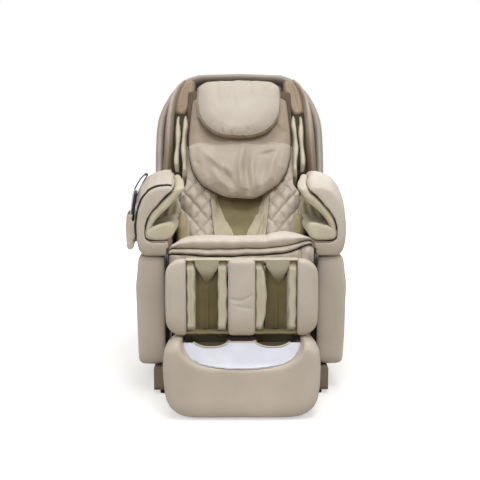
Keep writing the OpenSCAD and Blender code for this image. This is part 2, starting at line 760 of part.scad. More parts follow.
tube_w = 30;
frame_out = shell_half - 141;
frame_in = frame_out - 40;
frame_rear = 50;
column_back = -70;
lip_t = 6;
back_rail_x = frame_in - 35;
back_rail_y = 5;
rail_low = 70;
rail_high = back_top - 117;
column_t = 50;
hanger_r = 4;
hanger_half = 150;
hanger_y = column_back - column_t - 9;
hanger_z = rail_high + 13;

module back_frame() color(steel) on_back() {
    mirror_x() {
        block([frame_out - tube_w, frame_rear - tube_w, -20], [frame_out, frame_rear, rail_high + tube_w]);
        block([frame_out - 8, column_back + lip_t, 40], [frame_out, frame_rear - tube_w, rail_high]);
        block([frame_in, column_back, 40], [frame_out, column_back + lip_t, rail_high]);
        block([frame_out - 8, -20, -22], [frame_out, frame_rear - tube_w, 40]);
        rod_x(frame_out, cheek_in - gap, 0, 0, 14);
        rod_x(frame_out, cheek_in + cheek_t + 3, 0, 0, hinge_pin_r);
    }
    for (z = [rail_low - tube_w, rail_high])
        block([tube_w - frame_out, -10, z], [frame_out - tube_w, frame_rear, z + tube_w]);
    recline_ears();
    hanger();
}

// Bar in front of the upper cross bar that the hanging back panel turns on
module hanger() {
    rod_x(-hanger_half, hanger_half, hanger_y, hanger_z, hanger_r);
    mirror_x() block([hanger_half, hanger_y - hanger_r, hanger_z - 4], [hanger_half + 6, -10, hanger_z + 4]);
}

// Two ears below the lower cross bar that hold the motor's lever pin
module recline_ears() {
    tip = lever_tip(0, 0, [recline_lever[0], recline_lever[1] + back_tilt]);
    for (x0 = [lever_x - ear_in - ear_t, lever_x + ear_in]) {
        plate_x(x0, x0 + ear_t, [[frame_rear - tube_w, rail_low - tube_w], [tip[0] - 11, tip[1] - 5],
            [tip[0] + 11, tip[1] + 3], [frame_rear, rail_low - tube_w]]);
        rod_x(x0, x0 + ear_t, tip[0], tip[1], 12);
    }
    rod_x(lever_x - ear_in, lever_x + ear_in, tip[0], tip[1], lever_pin_r);
}

module back_rails() color(bright) on_back() mirror_x()
    translate([back_rail_x, back_rail_y, rail_low]) cylinder(h = rail_high - rail_low, r = rail_r);

// Right half of the shell's outline, from the bottom centre to the top centre
shell_half_line = [[0, 60], [frame_out - 25, 60], [frame_out + 1, 90], [frame_out + 11, 160],
    [frame_out + 43, 225], [shell_half - 27, 275], [shell_half - 3, 330],
    [shell_half, 440], [shell_half, 560], [shell_half - 6, back_top - 227], [shell_half - 24, back_top - 167],
    [shell_half - 53, back_top - 107], [shell_half - 88, back_top - 57], [shell_half - 127, back_top - 24],
    [shell_half - 176, back_top - 6], [0, back_top]];
shell_line = closed(shell_half_line);
shell_wall = 36;

// Deep padded shell, open to the front: rings of [depth, inset] over the rear, round the rim and back in
module back_shell() color(leather) on_back() difference() {
    loft([for (s = [[120, 130], [112, 80], [92, 42], [54, 14], [0, 1], [-45, 0], [-66, 6], [-75, 18],
        [-66, 31], [-40, shell_wall], [frame_rear, shell_wall]]) ring(shell_line, s[0], s[1])]);
    block([-frame_out - 1, -80, 0], [frame_out + 1, frame_rear, 300]);
    block([-seat_half - 2, -80, 0], [seat_half + 2, column_back + gap, 300]);
}

// Depth that the wings reach back to, in front of the frame's posts
wing_rear = frame_rear - tube_w - 1;

// Padded side wing inside the shell, from beside the hips up round the shoulders
module wing() color(leather) on_back()
    loft([for (i = [7:13]) [for (s = [[66, -70], [62, -98], [52, -112], [41, -98], [shell_wall, -70],
        [shell_wall, wing_rear], [66, wing_rear]]) ring(shell_line, s[1], s[0])[i]]]);
module wing_left() mirror([1, 0, 0]) wing();
module wing_right() wing();

// Two air cushions that stand forward beside the shoulders
module shoulder_airbags() color(lining) on_back()
    for (f = [[frame_out + 34, -120, rail_high - 385, rail_high - 99],
        [frame_out + 4, -140, rail_high - 415, rail_high - 105]])
        loft([for (s = [[0, 0.75], [0.07, 0.97], [0.35, 1], [0.7, 0.97], [0.88, 0.8], [1, 0.5]])
            let (w = 23 * (0.6 + 0.4 * s[1]), front = f[1] * s[1])
            [for (p = [[0, front + 14], [w * 0.2, front + 3], [w * 0.5, front], [w * 0.8, front + 3],
                [w, front + 14], [w, frame_rear], [0, frame_rear]])
                [f[0] + p[0], p[1], blend(f[2], f[3], s[0])]]]);
module shoulder_airbags_left() mirror([1, 0, 0]) shoulder_airbags();
module shoulder_airbags_right() shoulder_airbags();

column_in = 98;
column_low = 28;
quilt_rows = 8;

// Height of the quilted cushion: lowest where two seams cross, low along each seam, crowned between them
function tuft(i, j) = let (up = (i + j) % 4 == 0, down = (i - j) % 4 == 0)
    column_t - (up && down ? 9 : up || down ? 5 : 0);

// Outer edge of the back cushion: beside the hips it widens to fill the gap to the armrest
function column_out(z) = let (quilted = column_low + 8 + quilt * quilt_rows)
    lookup(z, [[column_low, column_in + 4 * quilt], [column_low + 40, seat_half],
        [quilted - quilt, seat_half], [quilted, column_in + 4 * quilt]]);

// Pair of back cushions beside the roller channel, quilted in diamonds at the lower back
module back_cushion() color(leather) on_back() mirror_x() {
    quilt_top = column_low + 8 + quilt_rows * quilt;
    rows = concat([for (j = [0:quilt_rows]) column_low + 8 + j * quilt],
        [for (s = [0.16, 0.39, 0.62, 0.83, 1]) blend(quilt_top, rail_high - 12, s)]);
    count = len(rows);
    ends = [column_low, rail_high - 4];
    column_ring = function(z, h, j) concat(
        [for (i = [0:4]) [column_in + i * quilt, column_back - h * [0.5, 1, 1, 1, 0.8][i]
            * (j <= quilt_rows ? tuft(i, j) / column_t : 1), z]],
        [[column_out(z) + 1, column_back - h * 0.4, z], [column_out(z), column_back, z],
            [column_in, column_back, z]]);
    loft(concat([column_ring(ends[0], column_t * 0.5, 99)],
        [for (j = [0:count - 1]) column_ring(rows[j], column_t, j)],
        [column_ring(ends[1], column_t * 0.5, 99)]), quilted = true);
}

// Stretch cover over the rollers, between the two cushions
module channel_cover() color(olive) on_back()
    block([-column_in, column_back - 6, column_low], [column_in, column_back, rail_high - 4]);

pad_back = column_back - column_t - 2 * gap;
// Right half of the hanging panel's outline, from the bottom centre to the top centre
pad_half_line = [for (p = [[0, -535], [50, -531], [110, -509], [160, -477], [198, -417], [216, -345],
    [219, -255], [214, -165], [206, -85], [190, -20], [160, -2], [0, 1]]) [p.x, rail_high + p.y]];

// Back panel with a sleeve along its top that turns on the frame's hanger bar
module back_pad() color(leather) on_back() difference() {
    union() {
        cushion(closed(pad_half_line), pad_back, [[0, 6], [pad_t * 0.3, 0], [pad_t * 0.65, 3],
            [pad_t * 0.88, 12], [pad_t * 0.97, 30], [pad_t, 70]]);
        rod_x(4 - hanger_half, hanger_half - 4, hanger_y, hanger_z, hanger_r + 5);
        block([20 - hanger_half, hanger_y - 3, hanger_z - 22],
            [hanger_half - 20, hanger_y + 3, hanger_z - 5]);
    }
    rod_x(-hanger_half, hanger_half, hanger_y, hanger_z, hanger_r + pin_fit);
}

// Right half of the pillow's outline, from the bottom centre to the top centre
pillow_half_line = [for (p = [[0, -281], [55, -277], [105, -259], [146, -223], [172, -175], [180, -115],
    [178, -45], [150, -19], [80, -6], [0, -2]]) [p.x, rail_high + p.y]];

module pillow() color(leather) on_back()
    cushion(closed(pillow_half_line), pad_back - pad_t, [[0, 14], [pillow_t * 0.25, 2], [pillow_t * 0.5, 0],
        [pillow_t * 0.75, 12], [pillow_t * 0.92, 40], [pillow_t, 85]]);

// ---------------------------------------------------------------- massage carriage

carriage_low = 110;
carriage_half = back_rail_x - 18;
carriage_h = 120;
arm_hub = [-8, carriage_low + carriage_h / 2];
arm_x = 60;
arm_t = 8;
arm_pin_r = 6;
roller_y = -44;
roller_step = 52;
roller_pin_r = 4;

module massage_carriage() color(dark_plastic) on_back() {
    mirror_x() {
        difference() {
            block([carriage_half, -13, carriage_low], [back_rail_x + 20, 23, carriage_low + carriage_h]);
            translate([back_rail_x, back_rail_y, carriage_low - 1])
                cylinder(h = carriage_h + 2, r = rail_r + gap / 2);
        }
        for (x = [arm_x - arm_t / 2 - 8, arm_x + arm_t / 2 + 2])
            block([x, arm_hub[0] - 9, arm_hub[1] - 12], [x + 6, 5, arm_hub[1] + 12]);
        rod_x(arm_x - arm_t / 2 - 2, arm_x + arm_t / 2 + 2, arm_hub[0], arm_hub[1], arm_pin_r);
    }
    block([-carriage_half, 5, carriage_low], [carriage_half, 23, carriage_low + carriage_h]);
    rod_x(-90, -20, 30, carriage_low + 30, 12);
    rod_x(10, 100, 30, carriage_low + 85, 14);
}

// Kneading arm: a plate on the carriage's pin with a pin for each of its two rollers
module massage_arm() color(steel) on_back() {
    difference() {
        union() {
            plate_x(arm_x - arm_t / 2, arm_x + arm_t / 2, [[arm_hub[0] + 8, arm_hub[1] - 10],
                [arm_hub[0] + 8, arm_hub[1] + 10], [roller_y + 7, arm_hub[1] + roller_step + 5],
                [roller_y - 7, arm_hub[1] + roller_step], [roller_y + 12, arm_hub[1]],
                [roller_y - 7, arm_hub[1] - roller_step], [roller_y + 7, arm_hub[1] - roller_step - 5]]);
            rod_x(arm_x - arm_t / 2, arm_x + arm_t / 2, arm_hub[0], arm_hub[1], 13);
        }
        rod_x(arm_x - arm_t, arm_x + arm_t, arm_hub[0], arm_hub[1], arm_pin_r + pin_fit);
    }
    for (z = [-roller_step, roller_step])
        rod_x(arm_x - arm_t / 2 - roller_len - 4, arm_x, roller_y, arm_hub[1] + z, roller_pin_r);
}
module massage_arm_left() mirror([1, 0, 0]) massage_arm();
module massage_arm_right() massage_arm();

module roller(z) color(brown_plastic) on_back()
    translate([arm_x - arm_t / 2 - 2 - roller_len, roller_y, arm_hub[1] + z]) rotate([0, 90, 0])
        difference() {
        rotate_extrude() polygon([[0, 0], [roller_r - 5, 0], [roller_r, 7], [roller_r, roller_len - 7],
            [roller_r - 5, roller_len], [0, roller_len]]);
        translate([0, 0, -1]) cylinder(h = roller_len + 2, r = roller_pin_r + pin_fit);
    }
module roller_upper_left() mirror([1, 0, 0]) roller(roller_step);
module roller_lower_left() mirror([1, 0, 0]) roller(-roller_step);
module roller_upper_right() roller(roller_step);
module roller_lower_right() roller(-roller_step);

// ---------------------------------------------------------------- leg rest

leg_arm_in = plate_in - 5;
leg_arm_t = 4;
leg_arm_out = leg_arm_in + leg_arm_t;
calf_face = -505;
calf_rear = -388;
calf_high = 531;
tub_high = 505;
channel_floor = -470;
cross_low = 400;
cross_h = 30;
sleeve_x = 120;
sleeve_w = 30;
sleeve_low = 285;
rod_y = calf_rear + sleeve_w / 2;
notch_in = lever_x - ear_in - ear_t - 1.5;
notch_out = lever_x + ear_in + ear_t + 1.5;
notch_z = cross_low + cross_h;

module leg_frame() color(steel) {
    mirror_x() {
        plate_x(leg_arm_in, leg_arm_out, [[knee_y - 14, knee_z - 8], [knee_y, knee_z + 16], [-400, 500],
            [calf_rear + sleeve_w, 470], [calf_rear + sleeve_w, cross_low], [-400, cross_low]]);
        rod_x(leg_arm_in, leg_arm_out, knee_y, knee_z, knee_eye_r - 2);
        rod_x(leg_arm_in, plate_out + 1, knee_y, knee_z, knee_pin_r);
        difference() {
            block([sleeve_x - sleeve_w / 2, calf_rear, sleeve_low],
                [sleeve_x + sleeve_w / 2, calf_rear + sleeve_w, cross_low + cross_h + 40]);
            translate([sleeve_x, rod_y, sleeve_low - 1]) cylinder(h = 300, r = foot_rod_r + pin_fit);
        }
        block([sleeve_x + sleeve_w / 2, calf_rear, cross_low],
            [leg_arm_in, calf_rear + sleeve_w, cross_low + cross_h]);
    }
    block([-sleeve_x + sleeve_w / 2, calf_rear, cross_low],
        [sleeve_x - sleeve_w / 2, calf_rear + sleeve_w, notch_z]);
    for (x0 = [-lever_x - ear_in - ear_t, -lever_x + ear_in]) {
        plate_x(x0, x0 + ear_t, [[calf_rear + 4, notch_z], [calf_rear + 20, notch_z],
            [calf_rear + 20, notch_z + 20],
            [knee_tip[0] + 10, knee_tip[1] + 7], [knee_tip[0] - 8, knee_tip[1] - 8],
            [knee_tip[0] + 12, knee_tip[1] - 30]]);
        rod_x(x0, x0 + ear_t, knee_tip[0], knee_tip[1], 11);
    }
    rod_x(-lever_x - ear_in, -lever_x + ear_in, knee_tip[0], knee_tip[1], lever_pin_r);
}

// Outline of a box with round corners in X and Z, in the order that cushions need
function soft_box(x0, x1, z0, z1, r) = let (k = r * 0.3) [
    [x1 - r, z0], [x1 - k, z0 + k], [x1, z0 + r], [x1, (z0 + z1) / 2], [x1, z1 - r], [x1 - k, z1 - k],
    [x1 - r, z1],
    [x0 + r, z1], [x0 + k, z1 - k], [x0, z1 - r], [x0, (z0 + z1) / 2], [x0, z0 + r], [x0 + k, z0 + k],
    [x0 + r, z0]];

calf_corner = 45;

// Moulded tub behind the calf pads, with two open channels and a slot for the leg motor's rod
module calf_shell() color(leather) difference() {
    intersection() {
        translate([0, calf_rear, (calf_low + calf_high) / 2]) rotate([90, 0, 0])
            linear_extrude(calf_rear - calf_face)
            round_rect(2 * calf_half + 2, calf_high - calf_low, calf_corner);
        plate_x(-calf_half - 2, calf_half + 2,
            [[calf_face, calf_low], [-420, calf_low], [calf_rear, calf_low + 14],
            [calf_rear, tub_high - 20], [-480, tub_high], [knee_y - 2, calf_high], [calf_face, calf_high]]);
    }
    mirror_x() block([channel_in, calf_face - 1, calf_low - 1], [channel_out, channel_floor, calf_high + 1]);
    block([-notch_out, calf_face - 1, notch_z], [-notch_in, calf_rear + 1, calf_high + 1]);
}

module calf_pads() color(leather) {
    steps = [[0, 2], [calf_pad * 0.3, 0], [calf_pad * 0.7, 2], [calf_pad * 0.92, 9], [calf_pad, 22]];
    cushion(soft_box(-46, 46, calf_low + 2, calf_high - 2, 8), calf_face, steps);
    mirror_x() cushion(soft_box(185, calf_half, calf_low + 2, calf_high - 2, 30), calf_face, steps);
}

// Air cushions on both lips of each channel
module calf_airbags() color(lining) {
    steps = [[0, 1], [14, 0], [26, 2], [34, 7], [37, 11]];
    mirror_x() {
        cushion(soft_box(48, channel_in, calf_low + 4, calf_high - 6, 8), calf_face, steps);
        cushion(soft_box(channel_out, 183, calf_low + 4, calf_high - 6, 8), calf_face, steps);
    }
}

// ---------------------------------------------------------------- foot unit

foot_rear = -392;
foot_high = 268;
foot_front = -628;
well_in = 50;
well_out = 200;
well_low = 58;
well_front = -600;
well_rear = -402;
cup_t = 4;
// Slope of the toe panel: lower edge and upper edge in Y and Z
toe_low = [-618, 171];
toe_high = [-545, 246];
toe_t = 6;
sole_y = -470;
sole_shaft_r = 5;
sole_z = well_low + cup_t + sole_r + 5;

foot_half_line = [[0, foot_low], [110, foot_low], [160, foot_low + 1], [foot_half - 65, foot_low + 6],
    [foot_half - 40, foot_low + 19], [foot_half - 20, foot_low + 40], [foot_half - 8, foot_low + 68],
    [foot_half - 2, foot_low + 108], [foot_half, foot_low + 160], [foot_half - 5, foot_high - 38],
    [foot_half - 15, foot_high - 16], [foot_half - 34, foot_high - 2], [foot_half - 60, foot_high],
    [0, foot_high]];
// Right half of the toe panel's outline as seen from the front
toe_half_line = [[0, 168], [60, 170], [100, 174], [137, 181], [168, 200], [188, 226], [197, 250], [199, 262]];

module foot_frame() color(steel) {
    block([-160, foot_rear, 70], [160, foot_rear + 6, 220]);
    mirror_x() {
        block([sleeve_x - 15, foot_rear + 6, 140], [sleeve_x + 15, rod_y + 12, 190]);
        translate([sleeve_x, rod_y, 190]) cylinder(h = 280, r = foot_rod_r);
    }
}

// Everything above the toe panel's slope, inside its outline drawn in by inset and raised by lift
module toe_space(inset, lift, height) {
    reach = 200;
    run = toe_high - toe_low;
    slope = atan2(run[1], run[0]);
    outline = [for (p = closed_top(toe_half_line, foot_high + 60)) [p.x * (1 - inset / 200), p.y + inset]];
    intersection() {
        translate([0, foot_rear - 60, 0]) rotate([90, 0, 0]) linear_extrude(300) polygon(outline);
        translate([0, toe_low[0], toe_low[1]]) rotate([slope, 0, 0])
            translate([-reach * 1.5, -40, lift])
                cube([reach * 3, norm(run) + 40 + (inset > 0 ? 0 : 120), height]);
    }
}

// Outline from its right half, closed straight up to the height z
function closed_top(half, z) = let (n = len(half) - 1)
    concat(half, [[half[n].x, z], [-half[n].x, z]], [for (i = [n:-1:1]) [-half[i].x, half[i].y]]);

// Padded foot unit: two wells, open above and running forward under the toe panel
module foot_shell() color(leather) difference() {
    loft([for (s = [[0, 34], [-20, 17], [-60, 5], [-110, 0], [-190, 0], [-214, 2], [-228, 9],
        [foot_front - foot_rear, 26]])
        ring(closed(foot_half_line), foot_rear + s[0], s[1])]);
    mirror_x() {
        block([well_in, toe_high[0] + 2, well_low], [well_out, well_rear, foot_high + 1]);
        block([well_in, well_front, well_low], [well_out, toe_high[0] + 3, toe_low[1] - 14]);
    }
    rod_x(-well_in - 1, well_in + 1, sole_y, sole_z, sole_shaft_r + 3);
    toe_space(0, 0, 200);
}

module toe_panel() color(silver) toe_space(1, 0, toe_t);

// Lining cups of the wells, with the bearings of the sole roller shaft
module foot_wells() color(lining) mirror_x() difference() {
    block([well_in + 1, toe_high[0] + 4, well_low], [well_out - 1, well_rear - 1, foot_high - 22]);
    block([well_in + 1 + cup_t, toe_high[0] + 3, well_low + cup_t],
        [well_out - 1 - cup_t, well_rear - 1 - cup_t, foot_high]);
    rod_x(well_in, well_out, sole_y, sole_z, sole_shaft_r + pin_fit);
}

// Shaft through both wells with two ribbed rollers in each
module sole_rollers() color(brown_plastic) {
    rod_x(2 - well_out, well_out - 2, sole_y, sole_z, sole_shaft_r);
    for (x = [-165, -110, 78, 133])
        translate([x, sole_y, sole_z]) rotate([0, 90, 0])
            rotate_extrude() polygon([[sole_shaft_r - 1, 0], [sole_r - 8, 0], [sole_r, 6], [sole_r - 3, 12],
                [sole_r, 18], [sole_r, 22], [sole_r - 8, 30], [sole_shaft_r - 1, 30]]);
}

base_frame();
base_skirts();
front_feet();
slide_rails();
side_panel_left();
side_panel_right();
power_box();
mains_inlet();
air_pump();
castor_left();
castor_right();
power_switch();
seat_frame();
seat_pan();
seat_cushion();
hip_airbags();
armrest_left();
armrest_right();
armrest_lining_left();
armrest_lining_right();
armrest_tray_left();
armrest_tray_right();
saddlebag();
cord_gland();
handset();
handset_cord();
key_power();
key_up();
key_down();
recline_motor();
recline_rod();
leg_motor();
leg_rod();
back_frame();
back_rails();
back_shell();
back_cushion();
channel_cover();
wing_left();
wing_right();
shoulder_airbags_left();
shoulder_airbags_right();
back_pad();
pillow();
massage_carriage();
massage_arm_left();
massage_arm_right();
roller_upper_left();
roller_lower_left();
roller_upper_right();
roller_lower_right();
leg_frame();
calf_shell();
calf_pads();
calf_airbags();
foot_frame();
foot_shell();
toe_panel();
foot_wells();
sole_rollers();
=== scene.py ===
"""Looks of the massage chair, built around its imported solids. Metres, +Z up, the sitter faces -Y."""

import math

import bmesh
import bpy
import numpy as np
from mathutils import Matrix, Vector


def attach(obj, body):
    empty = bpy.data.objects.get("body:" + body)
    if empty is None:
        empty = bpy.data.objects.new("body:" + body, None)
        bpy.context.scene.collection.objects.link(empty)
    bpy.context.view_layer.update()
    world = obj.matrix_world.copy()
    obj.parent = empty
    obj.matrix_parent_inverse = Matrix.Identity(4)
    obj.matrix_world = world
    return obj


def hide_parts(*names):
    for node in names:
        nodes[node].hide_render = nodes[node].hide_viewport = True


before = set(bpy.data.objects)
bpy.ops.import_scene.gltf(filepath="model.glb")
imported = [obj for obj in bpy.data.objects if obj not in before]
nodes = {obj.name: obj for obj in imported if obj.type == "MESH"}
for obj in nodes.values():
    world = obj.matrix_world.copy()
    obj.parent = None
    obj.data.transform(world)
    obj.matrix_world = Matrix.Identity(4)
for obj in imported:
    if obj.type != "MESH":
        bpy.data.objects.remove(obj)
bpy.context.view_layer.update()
scene = bpy.context.scene

# ---- camera, floor and lamps

# The view is a square of PIXELS, with focal length and sideways shift in pixels and the sensor in mm
PIXELS, FOCAL, SHIFT, SENSOR = 480, 811, -1.1, 36
camera_data = bpy.data.cameras.new("view")
camera_data.sensor_width = SENSOR
camera_data.lens = FOCAL / PIXELS * SENSOR
camera_data.shift_x = SHIFT / PIXELS
camera = bpy.data.objects.new("view", camera_data)
camera.location = (-0.03, -3.23, 1.0)
camera.rotation_euler = (math.radians(81.556), 0, math.radians(-0.593))
scene.collection.objects.link(camera)
scene.camera = camera
scene.view_settings.view_transform = "Standard"


def colour(code, alpha=1.0):
    """sRGB hex as linear values."""
    parts = [int(code[i : i + 2], 16) / 255 for i in (1, 3, 5)]
    return [p / 12.92 if p <= 0.04045 else ((p + 0.055) / 1.055) ** 2.4 for p in parts] + [alpha]


def add(tree, kind, inputs=None, **settings):
    """Adds a shader node. An input is a constant, or an output of another node, which is linked."""
    made = tree.nodes.new("ShaderNode" + kind)
    for key, value in settings.items():
        setattr(made, key, value)
    for key, value in (inputs or {}).items():
        if isinstance(value, bpy.types.NodeSocket):
            tree.links.new(value, made.inputs[key])
        else:
            made.inputs[key].default_value = value
    return made


def remap(tree, value, low, high, start=0.0, end=1.0, **settings):
    """Carries a value from start..end over to low..high."""
    limits = {"Value": value, "From Min": start, "From Max": end, "To Min": low, "To Max": high}
    return add(tree, "MapRange", limits, **settings).outputs[0]


def lamp(name, place, size, power, aim=(0, -0.1, 0.6)):
    """Softbox of a width and height, with its power in watts, facing aim."""
    data = bpy.data.lights.new(name, "AREA")
    data.shape = "RECTANGLE"
    data.size, data.size_y = size
    data.energy = power
    made = bpy.data.objects.new(name, data)
    made.location = place
    made.rotation_euler = (Vector(aim) - Vector(place)).to_track_quat("-Z", "Y").to_euler()
    scene.collection.objects.link(made)


lamp("front_box", (-0.8, -3.6, 2.4), (1.6, 1.0), 29)
lamp("key_box", (0.5, -1.9, 3.1), (1.4, 1.0), 40, (0, -0.2, 0.7))
lamp("right_box", (2.6, -1.2, 1.9), (0.9, 1.4), 13)
lamp("left_box", (-2.6, -1.0, 1.7), (0.9, 1.4), 12)
lamp("overhead", (0, -0.1, 5.0), (2.2, 2.2), 92)
lamp("rear_box", (0.6, 3.4, 2.4), (2.0, 1.4), 22)

# The studio is plain white to the camera and in reflections, and lights the chair with AMBIENT
AMBIENT = 0.17
world = bpy.data.worlds.new("studio")
world.use_nodes = True
scene.world = world
tree = world.node_tree
tree.nodes.clear()
seen = add(tree, "LightPath")
rays = {0: seen.outputs["Is Camera Ray"], 1: seen.outputs["Is Glossy Ray"]}
direct = add(tree, "Math", rays, operation="MAXIMUM")
level = remap(tree, direct.outputs[0], AMBIENT, 1.0)
sky = add(tree, "Background", {"Color": colour("#ffffff"), "Strength": level})
add(tree, "OutputWorld", {"Surface": sky.outputs[0]})

bpy.ops.mesh.primitive_plane_add(size=24)
floor = bpy.context.object
floor.name = "studio_floor"
paper = bpy.data.materials.new("backdrop_paper")
paper.use_nodes = True
tree = paper.node_tree
tree.nodes.clear()
# The sheet runs out to plain white between CLEAR and WHITE metres from the middle, and keeps the chair's own shadow
CLEAR, WHITE = 0.62, 1.25
matte = add(tree, "BsdfDiffuse", {"Color": colour("#d8d6d2")})
place = add(tree, "TexCoord").outputs["Object"]
reach = add(tree, "VectorMath", {0: place}, operation="LENGTH")
near = remap(tree, reach.outputs["Value"], 0.5, 1.0, CLEAR, WHITE)
glow = add(tree, "Emission", {"Color": colour("#ffffff"), "Strength": near})
both = add(tree, "AddShader", {0: matte.outputs[0], 1: glow.outputs[0]})
seen = add(tree, "LightPath")
mixed = add(tree, "MixShader", {0: seen.outputs["Is Camera Ray"], 1: matte.outputs[0], 2: both.outputs[0]})
add(tree, "OutputMaterial", {"Surface": mixed.outputs[0]})
floor.data.materials.append(paper)

# ---- materials


def blank(name):
    """A material with an empty tree, and the Object coordinates in it."""
    made = bpy.data.materials.new(name)
    made.use_nodes = True
    made.node_tree.nodes.clear()
    return made, made.node_tree, add(made.node_tree, "TexCoord").outputs["Object"]


def finish_material(tree, inputs, height, depth):
    """Principled shader under a bump of this depth in metres."""
    shader = add(tree, "BsdfPrincipled", inputs)
    bump = add(tree, "Bump", {"Height": height, "Distance": depth, "Strength": 1.0})
    tree.links.new(bump.outputs[0], shader.inputs["Normal"])
    add(tree, "OutputMaterial", {"Surface": shader.outputs[0]})


def grain(tree, place, size_mm, detail=2.0):
    """Noise with features of about size_mm."""
    return add(tree, "TexNoise", {"Vector": place, "Scale": 1000 / size_mm, "Detail": detail}).outputs["Fac"]


def ramp(tree, value, *stops):
    """Colour read from a value, with two stops of (value, hex)."""
    made = add(tree, "ValToRGB", {"Fac": value})
    for element, (position, code) in zip(made.color_ramp.elements, stops):
        element.position = position
        element.color = colour(code)
    return made.outputs[0]


def two_tone(tree, place, light, dark, size_mm):
    """Slow drift between two colours, over patches of about size_mm. Gives the colour and the drift."""
    drift = grain(tree, place, size_mm, 3.0)
    return ramp(tree, drift, (0.35, dark), (0.65, light)), drift


def painted_low_shade(tree, place, tone, low_shade):
    """Painted shade: darkens a finish towards its lower end. The last argument gives the height where it is darkest,
    the height where the shade ends, and the shade colour.
    """
    if low_shade is None:
        return tone
    low, high, dark = low_shade
    height = add(tree, "SeparateXYZ", {0: place}).outputs["Z"]
    shade_share = remap(tree, height, 1.0, 0.0, low, high, interpolation_type="SMOOTHSTEP")
    return add(tree, "Mix", {0: shade_share, 6: tone, 7: colour(dark)}, data_type="RGBA").outputs[2]


def coated_leather(name, light, dark, rough=0.44, low_shade=None):
    """Split leather with a pressed pebble grain under a thin coat: soft broad gloss, faint pores.
    Real pebbles are about 1 mm; they are drawn at 2.4 mm so that they show."""
    made, tree, place = blank(name)
    tone, drift = two_tone(tree, place, light, dark, 160)
    pebble = add(tree, "TexVoronoi", {"Vector": place, "Scale": 1000 / 2.4}, feature="DISTANCE_TO_EDGE")
    flat = remap(tree, pebble.outputs["Distance"], 0.0, 1.0, 0.0, 0.18)
    height = add(tree, "Math", {0: grain(tree, place, 34), 1: 5.0, 2: flat}, operation="MULTIPLY_ADD")
    finish_material(tree, {
        "Base Color": painted_low_shade(tree, place, tone, low_shade), "Roughness": remap(tree, drift, rough + 0.07, rough - 0.04),
        "IOR": 1.48, "Sheen Weight": 0.05, "Coat Weight": 0.05, "Coat Roughness": 0.35}, height.outputs[0], 0.00022)
    return made


def coated_cloth(name, light, dark, thread_mm=1.6, rough=0.62, sheen=0.2, low_shade=None):
    """Cloth with crossing threads. Real threads are about 0.4 mm; they are drawn at thread_mm so that they show."""
    made, tree, place = blank(name)
    tone, drift = two_tone(tree, place, light, dark, 90)
    threads = {"Vector": place, "Scale": 50 / thread_mm, "Distortion": 0.6}
    warp, weft = (add(tree, "TexWave", threads, bands_direction=way).outputs["Fac"] for way in "XZ")
    weave = add(tree, "Math", {0: warp, 1: weft}, operation="MULTIPLY")
    slack = add(tree, "Math", {0: drift, 1: 3.0, 2: weave.outputs[0]}, operation="MULTIPLY_ADD")
    finish_material(tree, {
        "Base Color": painted_low_shade(tree, place, tone, low_shade), "Roughness": rough, "Sheen Weight": sheen,
        "Sheen Roughness": 0.5}, slack.outputs[0], 0.00016)
    return made


def moulded(name, light, dark, grain_mm=0.9, rough=0.5, depth=0.00008, coat=0.0):
    """Moulded or coated surface with a fine texture and slight gloss variation."""
    made, tree, place = blank(name)
    tone, drift = two_tone(tree, place, light, dark, 70)
    finish_material(tree, {
        "Base Color": tone, "Roughness": remap(tree, drift, rough - 0.05, rough + 0.07), "Coat Weight": coat,
        "Coat Roughness": 0.08}, grain(tree, place, grain_mm), depth)
    return made


def drawn_steel(name):
    """Ground bright steel: fine scratches along the bar, mirror-like but streaked."""
    made, tree, place = blank(name)
    stretch = add(tree, "Mapping", {"Vector": place, "Scale": (60, 60, 900)}).outputs[0]
    lines = grain(tree, stretch, 1000, 3.0)
    finish_material(tree, {
        "Base Color": colour("#c3c5c9"), "Metallic": 1.0, "Roughness": remap(tree, lines, 0.2, 0.42)}, lines, 0.00003)
    return made


def plywood(name):
    """Sanded birch ply: long pale figure with darker streaks, matt."""
    made, tree, place = blank(name)
    stretch = add(tree, "Mapping", {"Vector": place, "Scale": (1.5, 24, 24)}).outputs[0]
    streaks = {"Vector": stretch, "Scale": 4.0, "Detail": 5.0, "Distortion": 0.8}
    figure = add(tree, "TexNoise", streaks).outputs["Fac"]
    tone = ramp(tree, figure, (0.3, "#a98656"), (1.0, "#cfb183"))
    finish_material(tree, {"Base Color": tone, "Roughness": 0.7}, figure, 0.0002)
    return made


LEATHER = coated_leather("beige_coated_leather", "#cdc2b3", "#c1b5a5")
PANEL_LEATHER = coated_leather("side_panel_leather", "#cec2b2", "#c3b6a6", 0.46)
# Brown copy of the beige leather: painted shade, for the upper wing pads and the pillow's underside
SHADE_LEATHER = coated_leather("painted_shade_brown_leather", "#a08b72", "#917c62", 0.42)
FOOT_LEATHER = coated_leather("foot_unit_leather", "#cbbeaf", "#c0b3a3", 0.46)
# The shell's leather is a darker copy of the beige: painted shade of its sides and rim
SHELL_LEATHER = coated_leather("shell_leather_painted_darker", "#a99e91", "#9d9183", 0.46)
# The wings have a darker copy of the beige leather, which darkens further towards their lower end: painted shade
WING_LEATHER = coated_leather("wing_leather_painted_shade", "#bdb0a1", "#b0a291", 0.44, (0.8, 1.08, "#75644c"))
# The hanging panel's upper half has a darker copy of the leather: painted shade under the pillow
PANEL_TOP_SHADE = coated_leather("panel_top_painted_shade_leather", "#a3927d", "#958470", 0.46)
# The hanging panel's and pillow's leather are darker copies of the beige, and the seat's is a lighter one: painted
# light and shade that evens out how the lamps fall
PAD_LEATHER = coated_leather("hanging_panel_leather", "#b9ac9c", "#aa9c8b", 0.44)
PILLOW_LEATHER = coated_leather("pillow_leather", "#c2b8aa", "#b8ad9e", 0.44)
SEAT_LEATHER = coated_leather("seat_leather", "#d3c8ba", "#c8bcad", 0.44)
